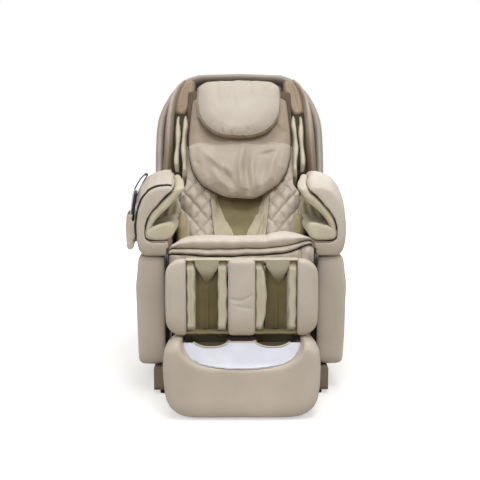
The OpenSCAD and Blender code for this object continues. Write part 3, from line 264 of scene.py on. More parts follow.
# The armrests' leather darkens towards its lower end: painted shade
ARM_LEATHER = coated_leather("armrest_leather", "#cfc4b6", "#c3b7a7", 0.44, (0.5, 0.6, "#b0a28f"))
# The calf pads' leather darkens towards its lower end: painted shade
CALF_LEATHER = coated_leather("calf_pad_leather", "#cdc2b3", "#c1b5a5", 0.44, (0.27, 0.36, "#b3a590"))
LINING = coated_cloth("pale_lining_cloth", "#cbc3aa", "#bfb599")
# The tongue's cloth darkens to olive towards its lower end: painted shade
TONGUE_CLOTH = coated_cloth("calf_tongue_cloth", "#d2cbb0", "#c8c0a2", 1.8, 0.62, 0.2, (0.452, 0.505, "#857850"))
OLIVE = coated_cloth("olive_stretch_cloth", "#8c7f58", "#7b6e49", 2.2, 0.6, 0.3)
# Deep olive: partly the stretch cloth's own olive, partly painted shade, for the leg rest's channel linings and bottom
# roll
DEEP_OLIVE = coated_cloth("deep_olive_cloth_painted_shade", "#7d7049", "#6c603d", 2.2, 0.65, 0.2)
CHANNEL_CLOTH = coated_cloth("pale_olive_stretch_cloth", "#b3a882", "#a0946c", 2.2, 0.6, 0.3)
# Dark brown cloth: painted shade, in the recess under the shell's top and beside the pillow
BROWN_CLOTH = coated_cloth("painted_shade_recess_cloth", "#5d4d39", "#4d3f2d", 1.6, 0.75, 0.1)
# Near black cloth: painted shade, in slots, gaps and wells
DARK_CLOTH = coated_cloth("painted_shade_dark_cloth", "#332819", "#271e12", 1.6, 0.8, 0.05)
PIPING = moulded("dark_piping_cord", "#2f2417", "#241a10", 0.8, 0.5, 0.00005)
BROWN_CORD = moulded("brown_piping_cord", "#6a563f", "#5a4833", 0.8, 0.5, 0.00005)
THREAD = moulded("polyester_thread", "#8e7f6c", "#7c6d5b", 0.5, 0.6, 0.00005)
POWDER = moulded("black_powder_coat", "#2b2c2f", "#232427", 0.7, 0.5, 0.00012)
BRIGHT = drawn_steel("ground_steel")
BLACK = moulded("black_abs", "#26262a", "#1d1d20", 0.8, 0.45, 0.0001)
BROWN = moulded("brown_grey_abs", "#8a7a66", "#7d6d5a", 0.9, 0.5, 0.0001)
SILVER = moulded("silver_lacquer", "#cdced8", "#c3c4d0", 0.4, 0.34, 0.00001, 0.25)
RUBBER = moulded("black_rubber", "#1c1c1d", "#141415", 1.2, 0.8, 0.0001)
NYLON = moulded("castor_nylon", "#2c2c2f", "#222225", 0.8, 0.4, 0.00006)
RESIN = moulded("roller_resin", "#6a4a30", "#573a24", 1.5, 0.3, 0.00005, 0.3)
PLY = plywood("birch_plywood")

# Solids that stay, with their finishes
KEPT = {
    POWDER: ("slide_rails", "base_frame", "seat_frame", "back_frame", "leg_frame", "foot_frame", "massage_arm_left",
             "massage_arm_right"),
    BRIGHT: ("recline_rod", "leg_rod", "back_rails"),
    BLACK: ("power_box", "mains_inlet", "air_pump", "power_switch", "cord_gland", "recline_motor", "leg_motor",
            "massage_carriage"),
    BROWN: ("base_skirts",),
    PLY: ("seat_pan",),
    RUBBER: ("front_feet",),
    NYLON: ("castor_left", "castor_right"),
    RESIN: ("roller_upper_left", "roller_lower_left", "roller_upper_right", "roller_lower_right", "sole_rollers"),
    SILVER: ("key_power", "key_up", "key_down"),
}
for finish, names in KEPT.items():
    for name in names:
        nodes[name].data.materials.clear()
        nodes[name].data.materials.append(finish)

# ---- shapes

SIDES = (("left", -1), ("right", 1))
# The back's lean and its hinge, and the seat pan's slope and front edge
BACK_TILT = math.radians(28)
HINGE = np.array([0, 0.15, 0.43])
SLOPE = math.radians(13)
PAN = np.array([0, -0.47, 0.52])
ONCE_FINER = ("SUBSURF", {"levels": 1, "render_levels": 1})


def turned(points, angle, at):
    """Points drawn upright, leaned back by angle about X and set at a place."""
    s, c = math.sin(angle), math.cos(angle)
    p = np.asarray(points, float)
    return np.column_stack([p[:, 0], p[:, 1] * c + p[:, 2] * s, -p[:, 1] * s + p[:, 2] * c]) + at


def on_back(points):
    return turned(points, BACK_TILT, HINGE)


def off_back(points):
    return turned(np.asarray(points) - HINGE, -BACK_TILT, 0)


def upright(points):
    return np.asarray(points, float)


def on_seat(points):
    """Seat pan's own frame: Y along the pan, Z square to it."""
    return turned(points, SLOPE, PAN)


def off_seat(points):
    return turned(np.asarray(points) - PAN, -SLOPE, 0)


def rise(value, start, end):
    """0 up to start and 1 from end on, straight between. start may be the larger."""
    return np.clip((value - start) / (end - start), 0, 1)


def points_at(x, y, z):
    """Rows of points from coordinates, any of which may be one number."""
    return np.column_stack(np.broadcast_arrays(x, y, z))


def on_side(outline, sign):
    """An outline drawn for the right side, or its mirror image for the left."""
    return (np.asarray(outline) * [sign, 1])[::sign]


def mesh_object(name, points, faces):
    mesh = bpy.data.meshes.new(name)
    mesh.from_pydata([tuple(p) for p in points], [], [tuple(f) for f in faces])
    mesh.validate()
    mesh.update()
    piece = bpy.data.objects.new(name, mesh)
    scene.collection.objects.link(piece)
    return piece


def outward(piece):
    """Joins points that coincide and turns all normals outwards."""
    shape = bmesh.new()
    shape.from_mesh(piece.data)
    bmesh.ops.remove_doubles(shape, verts=shape.verts, dist=1e-6)
    bmesh.ops.recalc_face_normals(shape, faces=shape.faces)
    shape.to_mesh(piece.data)
    shape.free()


def settle(piece, *modifiers):
    """Adds modifiers given as (type, settings) and applies them all."""
    for kind, settings in modifiers:
        added = piece.modifiers.new(kind.lower(), kind)
        for key, value in settings.items():
            setattr(added, key, value)
    bpy.context.view_layer.update()
    ready = piece.evaluated_get(bpy.context.evaluated_depsgraph_get())
    mesh = bpy.data.meshes.new_from_object(ready)
    piece.modifiers.clear()
    old = piece.data
    piece.data = mesh
    bpy.data.meshes.remove(old)


def read(items, field):
    """A vector of each vertex or face, as rows."""
    flat = np.empty(len(items) * 3, np.float32)
    items.foreach_get(field, flat)
    return flat.reshape(-1, 3).astype(float)


def points_of(piece):
    return read(piece.data.vertices, "co")


def uneven(piece, depth, size, seed):
    """Lifts and sinks a surface by up to about depth, over lengths of about size."""
    p = points_of(piece)
    move_points(piece, p + raised(piece, depth * wave(p, size, seed)))


def raised(piece, amount):
    """Moves along the normals of a piece's points, by amount for each."""
    return read(piece.data.vertex_normals, "vector") * amount[:, None]


def move_points(piece, points):
    piece.data.vertices.foreach_set("co", np.asarray(points, np.float32).ravel())
    piece.data.update()


def relax(piece, rounds, hold=None):
    """Smooths a mesh, so that cut edges become padded ones. hold is 0 to 1 for each point that stays."""
    pairs = np.empty(len(piece.data.edges) * 2, np.int32)
    piece.data.edges.foreach_get("vertices", pairs)
    a, b = pairs.reshape(-1, 2).T
    points = points_of(piece)
    count = np.bincount(a, minlength=len(points)) + np.bincount(b, minlength=len(points))
    free = 0.6 if hold is None else 0.6 * (1 - hold)[:, None]
    for _ in range(rounds):
        near = np.column_stack([np.bincount(a, points[b, k], len(points)) + np.bincount(b, points[a, k], len(points))
                                for k in range(3)]) / count[:, None]
        points += (near - points) * free
    move_points(piece, points)


def padded(piece, voxel, rounds, *first):
    """Remeshes a piece evenly, after any first modifiers, and relaxes it."""
    settle(piece, *first, ("REMESH", {"mode": "VOXEL", "voxel_size": voxel}))
    relax(piece, rounds)
    return piece


def from_cad(node, name, voxel, rounds, fill=()):
    """A padded skin over a solid: remeshed evenly and relaxed. fill holds boxes that close hidden hollows first."""
    shape = bmesh.new()
    shape.from_mesh(nodes[node].data)
    bmesh.ops.remove_doubles(shape, verts=shape.verts, dist=1e-5)
    for low, high in fill:
        cube = bmesh.ops.create_cube(shape, size=1)["verts"]
        for v in cube:
            v.co = Vector([low[k] + (v.co[k] + 0.5) * (high[k] - low[k]) for k in range(3)])
    mesh = bpy.data.meshes.new(name)
    shape.to_mesh(mesh)
    shape.free()
    piece = bpy.data.objects.new(name, mesh)
    scene.collection.objects.link(piece)
    return padded(piece, voxel, rounds)


def swelled(piece, pressure, most):
    """Blows a padded piece up as cloth over 20 frames. No point moves further than most."""
    rest = points_of(piece)
    cloth = piece.modifiers.new("cloth", "CLOTH").settings
    cloth.use_pressure = True
    cloth.uniform_pressure_force = pressure
    cloth.effector_weights.gravity = 0
    for number in range(1, 21):
        scene.frame_set(number)
    settle(piece)
    scene.frame_set(1)
    move = points_of(piece) - rest
    far = np.linalg.norm(move, axis=1)[:, None]
    move_points(piece, rest + move * np.minimum(1, most / np.maximum(far, 1e-9)))


def distance_to(points, line):
    """Distance of every point to a line through the given points, and how far along it is, 0 to 1."""
    line = np.asarray(line, float)
    best = np.full(len(points), 9.0)
    along = np.zeros(len(points))
    for i in range(len(line) - 1):
        d = line[i + 1] - line[i]
        t = np.clip((points - line[i]) @ d / (d @ d), 0, 1)
        far = np.linalg.norm(points - (line[i] + t[:, None] * d), axis=1)
        closer = far < best
        best[closer] = far[closer]
        along[closer] = ((i + t) / (len(line) - 1))[closer]
    return best, along


def bell(distance, width):
    return np.exp(-((distance / width) ** 2))


def wave(points, size, seed):
    """Smooth unevenness between -1 and 1 over lengths of about size."""
    rng = np.random.default_rng(seed)
    total = np.zeros(len(points))
    for _ in range(7):
        way = rng.normal(size=3)
        way /= np.linalg.norm(way)
        total += np.sin(points @ way * 2 * math.pi / (size * rng.uniform(0.7, 1.6)) + rng.uniform(0, 6.28))
    return total / 4


def smooth_line(points, steps):
    """Catmull-Rom curve through points."""
    p = np.asarray(points, float)
    n = len(p) - 1
    out = []
    for i in range(n):
        a, b, c, d = p[max(i - 1, 0)], p[i], p[i + 1], p[min(i + 2, n)]
        for j in range(steps):
            t = j / steps
            bend, twist = 2 * a - 5 * b + 4 * c - d, 3 * b - a - 3 * c + d
            out.append(0.5 * (2 * b + (c - a) * t + bend * t * t + twist * t**3))
    out.append(p[-1])
    return np.array(out)


def tube(name, line, radius, sides=8, closed=False):
    """Round cord along a line of points, which runs round when closed. A point on top of the one before is dropped."""
    line = np.asarray(line, float)
    line = line[np.linalg.norm(line - np.roll(line, 1, 0), axis=1) > 1e-5]
    n = len(line)
    before = np.roll(line, 1, 0) if closed else np.vstack([line[:1], line[:-1]])
    after = np.roll(line, -1, 0) if closed else np.vstack([line[1:], line[-1:]])
    way = after - before
    way /= np.linalg.norm(way, axis=1)[:, None]
    side = np.cross(way[0], [0.3, 0.2, 0.93])
    side /= np.linalg.norm(side)
    rings = []
    for i in range(n):
        side = side - way[i] * (side @ way[i])
        side /= np.linalg.norm(side)
        up = np.cross(way[i], side)
        for k in range(sides):
            a = 2 * math.pi * k / sides
            rings.append(line[i] + radius * (math.cos(a) * side + math.sin(a) * up))
    faces = []
    for i in range(n if closed else n - 1):
        for k in range(sides):
            j, m = (i + 1) % n, (k + 1) % sides
            faces.append((i * sides + k, i * sides + m, j * sides + m, j * sides + k))
    if not closed:
        faces += [tuple(range(sides))[::-1], tuple(range((n - 1) * sides, n * sides))]
    piece = mesh_object(name, rings, faces)
    outward(piece)
    return piece


def laid_on(piece, line, lift=0.0):
    """A line of points dropped onto a piece's surface."""
    out = []
    for p in line:
        _, place, normal, _ = piece.closest_point_on_mesh(Vector(p))
        out.append(place + normal * lift)
    return np.array(out)


def skin(name, rings):
    """Closed surface through rings of equal count, capped at both ends."""
    rings = np.asarray(rings, float)
    m, n = rings.shape[:2]
    points = list(rings.reshape(-1, 3))
    faces = [(i * n + j, i * n + (j + 1) % n, (i + 1) * n + (j + 1) % n, (i + 1) * n + j)
             for i in range(m - 1) for j in range(n)]
    points += [rings[0].mean(0), rings[-1].mean(0)]
    faces += [(m * n, (j + 1) % n, j) for j in range(n)]
    faces += [(m * n + 1, (m - 1) * n + j, (m - 1) * n + (j + 1) % n) for j in range(n)]
    piece = mesh_object(name, points, faces)
    outward(piece)
    return piece


def lobe(name, outline, rear, steps, place=on_back, rounds=2, voxel=0.005):
    """Cushion over an outline in X and Z: rear plane at y, steps of (height, inset) to its crown."""
    outline = np.asarray(outline, float)
    middle = outline.mean(0)
    reach = (outline.max(0) - outline.min(0)) / 2
    rings = []
    for height, inset in steps:
        flat = middle + (outline - middle) * (1 - inset / reach)
        rings.append(place(points_at(flat[:, 0], rear - height, flat[:, 1])))
    return padded(skin(name, rings), voxel, rounds)


def done(piece, body, finish, replaced=()):
    """Finish, smooth shading and body of a piece, and hides the solids it replaces."""
    piece.data.materials.clear()
    piece.data.materials.append(finish)
    piece.data.polygons.foreach_set("use_smooth", [True] * len(piece.data.polygons))
    piece.data.update()
    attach(piece, body)
    if replaced:
        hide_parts(*replaced)
    return piece


def second_finish(piece, finish, where):
    """Gives the faces chosen by where(centres, normals) another finish."""
    faces = piece.data.polygons
    chosen = where(read(faces, "center"), read(faces, "normal"))
    piece.data.materials.append(finish)
    faces.foreach_set("material_index", np.asarray(chosen, np.int32))
    piece.data.update()


# ---- handset cord

CORD_ROUTE = np.array([
    [-414, 45, 588], [-414, 45, 572], [-415, 38, 548], [-415, 12, 530], [-415, -30, 522], [-414, -72, 532],
    [-413, -102, 560], [-412, -120, 604], [-408, -132, 652], [-395, -142, 710], [-373, -150, 759],
    [-352, -170, 791], [-350, -205, 800], [-363, -232, 792], [-378, -246, 770], [-391, -251, 745]]) / 1000
cord_line = smooth_line(CORD_ROUTE, 4)
cord = tube("handset_lead", cord_line, 0.0025, 10)
done(cord, "seat", PIPING, ["handset_cord"])
clip = tube("lead_clip", [[-0.3555, -0.19, 0.7965], [-0.3545, -0.199, 0.7992]], 0.0046, 12)
settle(clip, ("BEVEL", {"width": 0.0008, "segments": 2}))
done(clip, "seat", BLACK)

# ---- base and side panels

for side, sign in SIDES:
    x0, x1 = sorted((sign * 0.2965, sign * 0.363))
    panel = from_cad("side_panel_" + side, "side_cover_" + side, 0.006, 9, [((x0, -0.33, 0.11), (x1, 0.128, 0.466))])
    p = points_of(panel)
    x, y, z = p.T
    # A soft crease runs down the cover a hand's width behind its front edge
    seam, _ = distance_to(p * [0, 1, 1], [[0, -0.318, 0.12], [0, -0.3, 0.3], [0, -0.296, 0.5]])
    p -= raised(panel, 0.0022 * bell(seam, 0.005) * (np.abs(x) > 0.34))
    x += sign * 0.0012 * wave(p, 0.22, 5) * (np.abs(x) > 0.33)
    # Fuller on its outer face, and towards the seat along its front edge
    x += sign * 0.009 * rise(np.abs(x), 0.33, 0.36)
    x -= sign * 0.021 * rise(np.abs(x), 0.32, 0.3) * rise(y, -0.305, -0.325)
    move_points(panel, p)
    done(panel, "base", PANEL_LEATHER, ["side_panel_" + side])

# ---- back

shell = from_cad("back_shell", "padded_shell", 0.0075, 14)
p = points_of(shell)
q = off_back(p)
x, y, z = q.T
# Seams: one round the rim's outer edge, one across the rear, two down it
rear = rise(y, 0.03, 0.06)
ring_seam = bell(y - 0.004, 0.006) * 0.003
cross = bell(z - 0.34, 0.006) * 0.0028 * rear
down = bell(np.abs(x) - 0.2, 0.006) * 0.0028 * rear * (z < 0.76)
move_points(shell, p + raised(shell, 0.0016 * wave(p, 0.3, 3) - ring_seam - cross - down))
done(shell, "back", SHELL_LEATHER, ["back_shell"])

# Edges of a side wing up the inside of the shell: outer X, Z, inner X, Z and depth of its crown
WING = np.array([
    [337, 322, 293, 322, -84], [335, 345, 291, 345, -106], [333, 400, 289, 395, -112], [330, 464, 287, 454, -113],
    [327, 582, 285, 571, -113], [318, 656, 282, 645, -112], [304, 716, 275, 705, -109], [282, 768, 255, 757, -103],
    [262, 796, 240, 784, -94], [244, 812, 232, 802, -84]]) / 1000
UPPER_PAD = np.array([
    [262, 622], [238, 624], [224, 646], [212, 680], [200, 715], [193, 750], [194, 790], [204, 806], [226, 806],
    [246, 792], [264, 764], [277, 728], [285, 690], [287, 632]]) / 1000
# Outline of a dark sheet behind the shoulder cushions: painted shade in the gaps round them
FLAP_GAP_SHADE = np.array([[0.2895, 0.34], [0.2895, 0.6], [0.282, 0.645], [0.224, 0.645], [0.222, 0.34]])
# The two air cushions of a shoulder meet at SPLIT_X, in a slot this wide either way
SPLIT_X, SPLIT_HALF = 0.2555, 0.0052
for side, sign in SIDES:
    rings = []
    for x0, z0, x1, z1, crown in smooth_line(WING, 8):
        section = [(0, 0.015), (0, -0.052), (0.05, -0.066), (0.22, crown + 0.014), (0.45, crown), (0.68, crown + 0.004),
                   (0.9, crown + 0.022), (1, crown + 0.045), (1, 0.015)]
        rings.append(on_back([[sign * (x0 + (x1 - x0) * t), y, z0 + (z1 - z0) * t] for t, y in section]))
    wing = padded(skin("side_wing_" + side, rings), 0.005, 5)
    uneven(wing, 0.0014, 0.16, 8)
    done(wing, "back", WING_LEATHER, ["wing_" + side])
    # The upper pad beside the pillow has the brown leather: painted shade of that recess
    upper = lobe("upper_wing_pad_" + side, on_side(UPPER_PAD, sign), -0.03,
                 [(0, 0.002), (0.03, 0), (0.048, 0.004), (0.058, 0.012), (0.062, 0.022)], on_back, 5)
    q = off_back(points_of(upper))
    seam, _ = distance_to(q[:, [0, 2]], [[sign * 0.222, 0.79], [sign * 0.243, 0.72], [sign * 0.254, 0.65]])
    q[:, 1] += 0.007 * bell(seam, 0.008) * (q[:, 1] < -0.05)
    move_points(upper, on_back(q))
    done(upper, "back", SHADE_LEATHER, ())
    flaps = from_cad("shoulder_airbags_" + side, "shoulder_air_cushions_" + side, 0.0042, 5)
    slot = np.abs(np.abs(read(flaps.data.polygons, "center")[:, 0]) - SPLIT_X) < SPLIT_HALF
    q = off_back(points_of(flaps))
    x, y, z = q.T
    # Each cushion narrows towards its top end and ripples along its length
    outer = np.abs(x) > SPLIT_X
    middle = SPLIT_X + np.where(outer, 0.015, -0.015)
    width = (0.93 - 0.45 * rise(z, 0.52, 0.63) ** 2) * (1 + 0.12 * np.sin(z * 47 + outer * 2))
    ripple = 0.003 * np.sin(z * 31 + outer * 1.7) * rise(y, -0.06, -0.11)
    x[:] = sign * (middle + (np.abs(x) - middle) * width - 0.004 + ripple)
    y += 0.004 * np.sin(z * 57 + outer * 1.3)
    move_points(flaps, on_back(q))
    done(flaps, "back", LINING, ["shoulder_airbags_" + side])
    # Painted shade: dark cloth on the faces in the slot
    second_finish(flaps, DARK_CLOTH, lambda c, n: slot)
    # Painted shade: a dark sheet behind the cushions
    gap_shade = lobe("flap_gap_shade_" + side, on_side(FLAP_GAP_SHADE, sign), -0.02, [(0, 0.001), (0.052, 0), (0.06, 0.004)],
                  on_back, 1)
    done(gap_shade, "back", DARK_CLOTH, ())

columns = from_cad("back_cushion", "quilted_cushions", 0.005, 6)
q = off_back(points_of(columns))
x, y, z = q.T
# Diamonds of DIAMOND across, stitched up to the hanging panel
DIAMOND = 0.064
u, v = np.abs(x) - 0.13, (z - 0.036) * 0.8
front = rise(y, -0.088, -0.1) * rise(z, 0.34, 0.29)
lines = [np.abs((u + s * v + DIAMOND / 2) % DIAMOND - DIAMOND / 2) for s in (1, -1)]
near = np.minimum(*lines)
y += front * (0.0075 * bell(lines[0], 0.0045) + 0.0065 * bell(lines[1], 0.0045) - 0.005 * (1 - bell(near, 0.014)))
y += 0.0022 * wave(q, 0.1, 9)
move_points(columns, on_back(q))
done(columns, "back", LEATHER, ["back_cushion"])
# Painted shade: dark brown cloth on the cushions' upper ends, around the pillow
second_finish(columns, BROWN_CLOTH, lambda c, n: off_back(c)[:, 2] > 0.46)

# Stretch cover of the roller channel: a trough between the cushions, with paler flaps up its sides
heights = np.linspace(0.03, 0.731, 110)


def trough_half(z):
    """Half width of the trough's floor."""
    return np.interp(z, [0.03, 0.079, 0.123, 0.168, 0.223, 0.3], [0.024, 0.038, 0.058, 0.079, 0.098, 0.106])


def flap_edge(z):
    """Where a flap is sewn to the quilted cushion."""
    return np.interp(z, [0.03, 0.25, 0.73], [0.104, 0.128, 0.13])


def cushion_face(x):
    """Height of the quilted cushions over the frame, beside the channel."""
    return 0.025 * (1 + rise(x, 0.098, 0.13))


trough = []
for z in heights:
    w = trough_half(z) + 0.012
    x = np.linspace(-w, w, 36)
    sag = 0.0785 + 0.003 * (x / w) ** 2 + 0.0014 * np.sin(x * 70 + z * 50)
    bulge = 0.026 * bell(z - 0.055, 0.06) * (1 - 0.6 * (x / w) ** 2)
    front = points_at(x, -(sag + bulge), z)
    trough.append(on_back(np.vstack([front, front[::-1] * [1, 0, 1] + [0, -0.0705, 0]])))
cover = skin("channel_cover_cloth", trough)
done(cover, "back", OLIVE, ["channel_cover"])
for side, sign in SIDES:
    rows = []
    for z in heights:
        w = trough_half(z)
        x = np.linspace(w - 0.004, flap_edge(z), 30)
        t = (x - x[0]) / (x[-1] - x[0])
        rest = np.where(x < 0.0985, 0.0765, 0.0715 + cushion_face(x))
        # From the trough's face out to the cushion's, with more fullness at the foot, and never inside what it lies on
        drape = 0.081 + (cushion_face(x[-1]) - 0.0065) * (0.35 * t + 0.65 * t**1.8)
        drape += 0.03 * bell(z - 0.055, 0.05) * (1 - t) ** 2
        drape = np.maximum(drape, rest + 0.0015)
        drape += 0.0022 * np.sin(z * 62 + t * 5 + sign) * t * (1 - t) * 4
        if sign > 0:
            # The right flap has come open in a narrow dart at its foot
            slit = bell(x - np.interp(z, [0.05, 0.19], [0.08, 0.112]), 0.002 + 0.06 * np.clip(0.19 - z, 0, 0.16))
            drape -= 0.014 * slit * np.clip((0.195 - z) * 30, 0, 1)
            drape = np.maximum(drape, rest + 0.001)
        front = points_at(sign * x, -drape, z)
        back = points_at(sign * x, -np.minimum(rest, drape - 0.001), z)
        rows.append(on_back(np.vstack([front, back[::-1]])))
    flap = skin("channel_flap_" + side, rows)
    done(flap, "back", LINING, ())
    stitched = heights[2:60:3]
    seam = laid_on(flap, on_back(points_at(sign * (flap_edge(stitched) - 0.001), -0.118, stitched)), -0.0003)
    done(tube("channel_seam_" + side, seam, 0.0011, 6), "back", THREAD)

# ---- hanging panel and pillow

PAD_HALF = np.array([
    [0, 200], [50, 204], [110, 226], [160, 258], [198, 318], [216, 390], [219, 480], [214, 570], [206, 650],
    [190, 715], [160, 733], [0, 736]]) / 1000
PILLOW_HALF = np.array([
    [0, 454], [55, 458], [105, 476], [146, 512], [172, 560], [180, 620], [178, 690], [150, 716], [80, 729],
    [0, 733]]) / 1000


def round_outline(half):
    """Whole outline from the points of its right half."""
    line = smooth_line(half, 6)
    return np.vstack([line, line[-2:0:-1] * [-1, 1]])


def folds(q, list_of_folds):
    """Depth of leather folds at points q of the back: each is (x0, z0, x1, z1, width, depth)."""
    flat = q[:, [0, 2]]
    total = np.zeros(len(q))
    for x0, z0, x1, z1, width, depth in list_of_folds:
        far, along = distance_to(flat, [[x0, z0], [(x0 + x1) / 2 + (z1 - z0) * 0.06, (z0 + z1) / 2], [x1, z1]])
        total += depth * bell(far, width) * np.sin(math.pi * np.clip(along, 0.04, 1)) ** 0.7
    return total


def shelf_height(x):
    """Line across the hanging panel where its upper half stands over the lower one. Above it the leather is painted
    darker, as shade.
    """
    return 0.452 - 0.05 * np.abs(x - 0.02)


# Cloth that closes the shell over the carriage's highest place, and the gap between the back and the seat. Both are
# dark: painted shade in these recesses.
recess = lobe("head_recess_shade_lining", [[-0.19, 0.739], [0.19, 0.739], [0.19, 0.757], [0.18, 0.775], [-0.18, 0.775],
              [-0.19, 0.757]], -0.055, [(0, 0.001), (0.022, 0), (0.027, 0.003)], on_back, 1, 0.004)
done(recess, "back", BROWN_CLOTH, ())
shade_sheet = lobe("lower_back_shade_sheet", [[-0.2, -0.045], [0.2, -0.045], [0.2, 0.12], [-0.2, 0.12]], -0.06,
             [(0, 0.001), (0.003, 0), (0.005, 0.002)], on_back, 1, 0.008)
done(shade_sheet, "back", DARK_CLOTH, ())

# How the two filled pieces are blown up
PRESSURE, MOST_SWELL = 4, 0.006
pad = from_cad("back_pad", "hanging_back_panel", 0.005, 8)
swelled(pad, PRESSURE, MOST_SWELL)
q = off_back(points_of(pad))
x, y, z = q.T
front = rise(y, -0.135, -0.15) * (z < 0.745)
creases = folds(q, [
    (-0.15, 0.4, -0.026, 0.294, 0.015, -0.01), (-0.09, 0.38, -0.01, 0.225, 0.011, 0.007),
    (0.012, 0.43, 0.01, 0.215, 0.013, -0.009), (0.034, 0.42, 0.04, 0.215, 0.009, 0.007),
    (0.058, 0.41, 0.064, 0.21, 0.011, -0.008), (0.085, 0.385, 0.15, 0.402, 0.008, 0.006),
    (0.11, 0.37, 0.085, 0.225, 0.016, 0.005), (0.16, 0.42, 0.12, 0.255, 0.014, -0.006),
    (-0.185, 0.44, -0.16, 0.31, 0.014, 0.006), (-0.12, 0.33, -0.05, 0.235, 0.014, -0.006),
    (-0.19, 0.56, -0.12, 0.54, 0.012, 0.004), (0.15, 0.56, 0.196, 0.5, 0.012, -0.005)])
shelf = rise(shelf_height(x) - z, 0, 0.022)
shelf = shelf * shelf * (3 - 2 * shelf) * rise(z, 0.22, 0.37)
x *= 1.02
y += front * (1.35 * creases - 0.013 * shelf) + 0.0026 * wave(q, 0.09, 11) * front
# The top end narrows under the pillow, and the lower edge hangs unevenly
x *= 1 - 0.3 * rise(z, 0.655, 0.7)
z -= 0.01 * bell(x - 0.045, 0.05) * np.clip((0.3 - z) * 12, 0, 1)
z += 0.003 * np.sin(x * 42 + 0.8) * np.clip((0.27 - z) * 14, 0, 1)
move_points(pad, on_back(q))
done(pad, "hanging_pad", PAD_LEATHER, ["back_pad"])
# Painted shade: the darker leather above the line, under the pillow
second_finish(pad, PANEL_TOP_SHADE, lambda c, n: off_back(c)[:, 2] > shelf_height(c[:, 0]))
rim = round_outline(PAD_HALF)
edge = laid_on(pad, on_back(points_at(rim[:, 0], -0.139, rim[:, 1])), 0.0012)
piping = tube("panel_piping", edge, 0.0024, 8, True)
done(piping, "hanging_pad", PIPING)

pillow = from_cad("pillow", "head_pillow", 0.0045, 10)
swelled(pillow, PRESSURE, MOST_SWELL)
q = off_back(points_of(pillow))
x, y, z = q.T
front = rise(y, -0.185, -0.205)
creases = folds(q, [
    (-0.02, 0.72, -0.015, 0.56, 0.012, 0.004), (0.05, 0.72, 0.06, 0.6, 0.01, 0.0035),
    (-0.09, 0.71, -0.08, 0.58, 0.014, 0.004), (0.11, 0.7, 0.1, 0.6, 0.01, -0.003),
    (-0.05, 0.7, -0.045, 0.62, 0.009, -0.003)])
y += front * creases + 0.0012 * wave(q, 0.1, 12)
x[:] = x * 1.02 - 0.004
z -= 0.007 * rise(z, 0.6, 0.5)
move_points(pillow, on_back(q))
done(pillow, "hanging_pad", PILLOW_LEATHER, ["pillow"])
# Painted shade: the brown copy of the leather on the faces that look down, behind the front seam
second_finish(pillow, SHADE_LEATHER,
              lambda c, n: (turned(n, -BACK_TILT, 0)[:, 2] < -0.45) & (off_back(c)[:, 1] > -0.207))
rim = round_outline(PILLOW_HALF)
for name, depth, inset in (("pillow_front_seam", -0.212, 0.97), ("pillow_rear_seam", -0.176, 1.0)):
    ring = points_at(rim[:, 0] * inset, depth, (rim[:, 1] - 0.594) * inset + 0.59)
    line = laid_on(pillow, on_back(ring), -0.0002)
    done(tube(name, line, 0.0015, 8, True), "hanging_pad", BROWN_CORD)

# ---- seat

SEAT_HALF, PAN_LEN, CUSHION_H, SAG = 0.25, 0.55, 0.092, 0.01
# Across the seat: crown at the rear, crown at the front edge, and heights of the two folds of the front
STATIONS = np.array([
    [-1.0, 0.62, 0.36, 0.9, 0.5], [-0.97, 0.84, 0.52, 0.8, 0.42], [-0.92, 0.95, 0.66, 0.66, 0.34],
    [-0.82, 1.01, 0.86, 0.52, 0.27], [-0.66, 0.99, 0.96, 0.47, 0.21], [-0.4, 1.0, 0.97, 0.46, 0.17],
    [-0.15, 0.97, 0.94, 0.46, 0.16], [0.1, 0.97, 0.95, 0.46, 0.19], [0.32, 1.0, 0.97, 0.47, 0.22],
    [0.46, 1.0, 1.05, 0.48, 0.24], [0.6, 0.99, 1.1, 0.52, 0.28], [0.74, 1.0, 1.06, 0.6, 0.38],
    [0.84, 0.99, 0.99, 0.72, 0.52], [0.92, 0.95, 0.9, 0.84, 0.66], [0.97, 0.84, 0.78, 0.92, 0.76],
    [1.0, 0.62, 0.62, 0.94, 0.8]])


def seat_profile(rear, h, first, second):
    """Side view of the seat cushion, from its lower rear edge over the crown to the two folds of its front."""
    f, s = first * h, second * h
    top = [[y, (rear + (h - rear) * math.exp(-((y / 0.16) ** 2))) * 0.955 - SAG * math.sin(math.pi * y / PAN_LEN)]
           for y in (0.44, 0.33, 0.22, 0.14, 0.08)]
    front = [[0.036, h], [0.008, h * 0.98], [-0.014, h - (h - f) * 0.22], [-0.026, h - (h - f) * 0.55],
             [-0.019, f + (h - f) * 0.16], [-0.008, f + 0.001], [0.006, f - 0.001], [-0.006, f - (f - s) * 0.14],
             [-0.016, f - (f - s) * 0.45], [-0.014, s + (f - s) * 0.16], [-0.003, s + 0.001], [0.006, s - 0.0015],
             [-0.005, s * 0.8 - 0.002], [-0.003, s * 0.3 - 0.004], [0.001, -0.008], [0.006, -0.012], [0.01, -0.006]]
    back = [[PAN_LEN - 0.014, 0], [PAN_LEN - 0.01, rear * 0.62], [PAN_LEN - 0.03, rear * 0.86]]
    return smooth_line(np.array(back + top + front), 5)


def fold_ripple(x):
    """Rise and fall of the front's folds across the seat."""
    return 0.0016 * np.sin(x * 23 + 1.1)


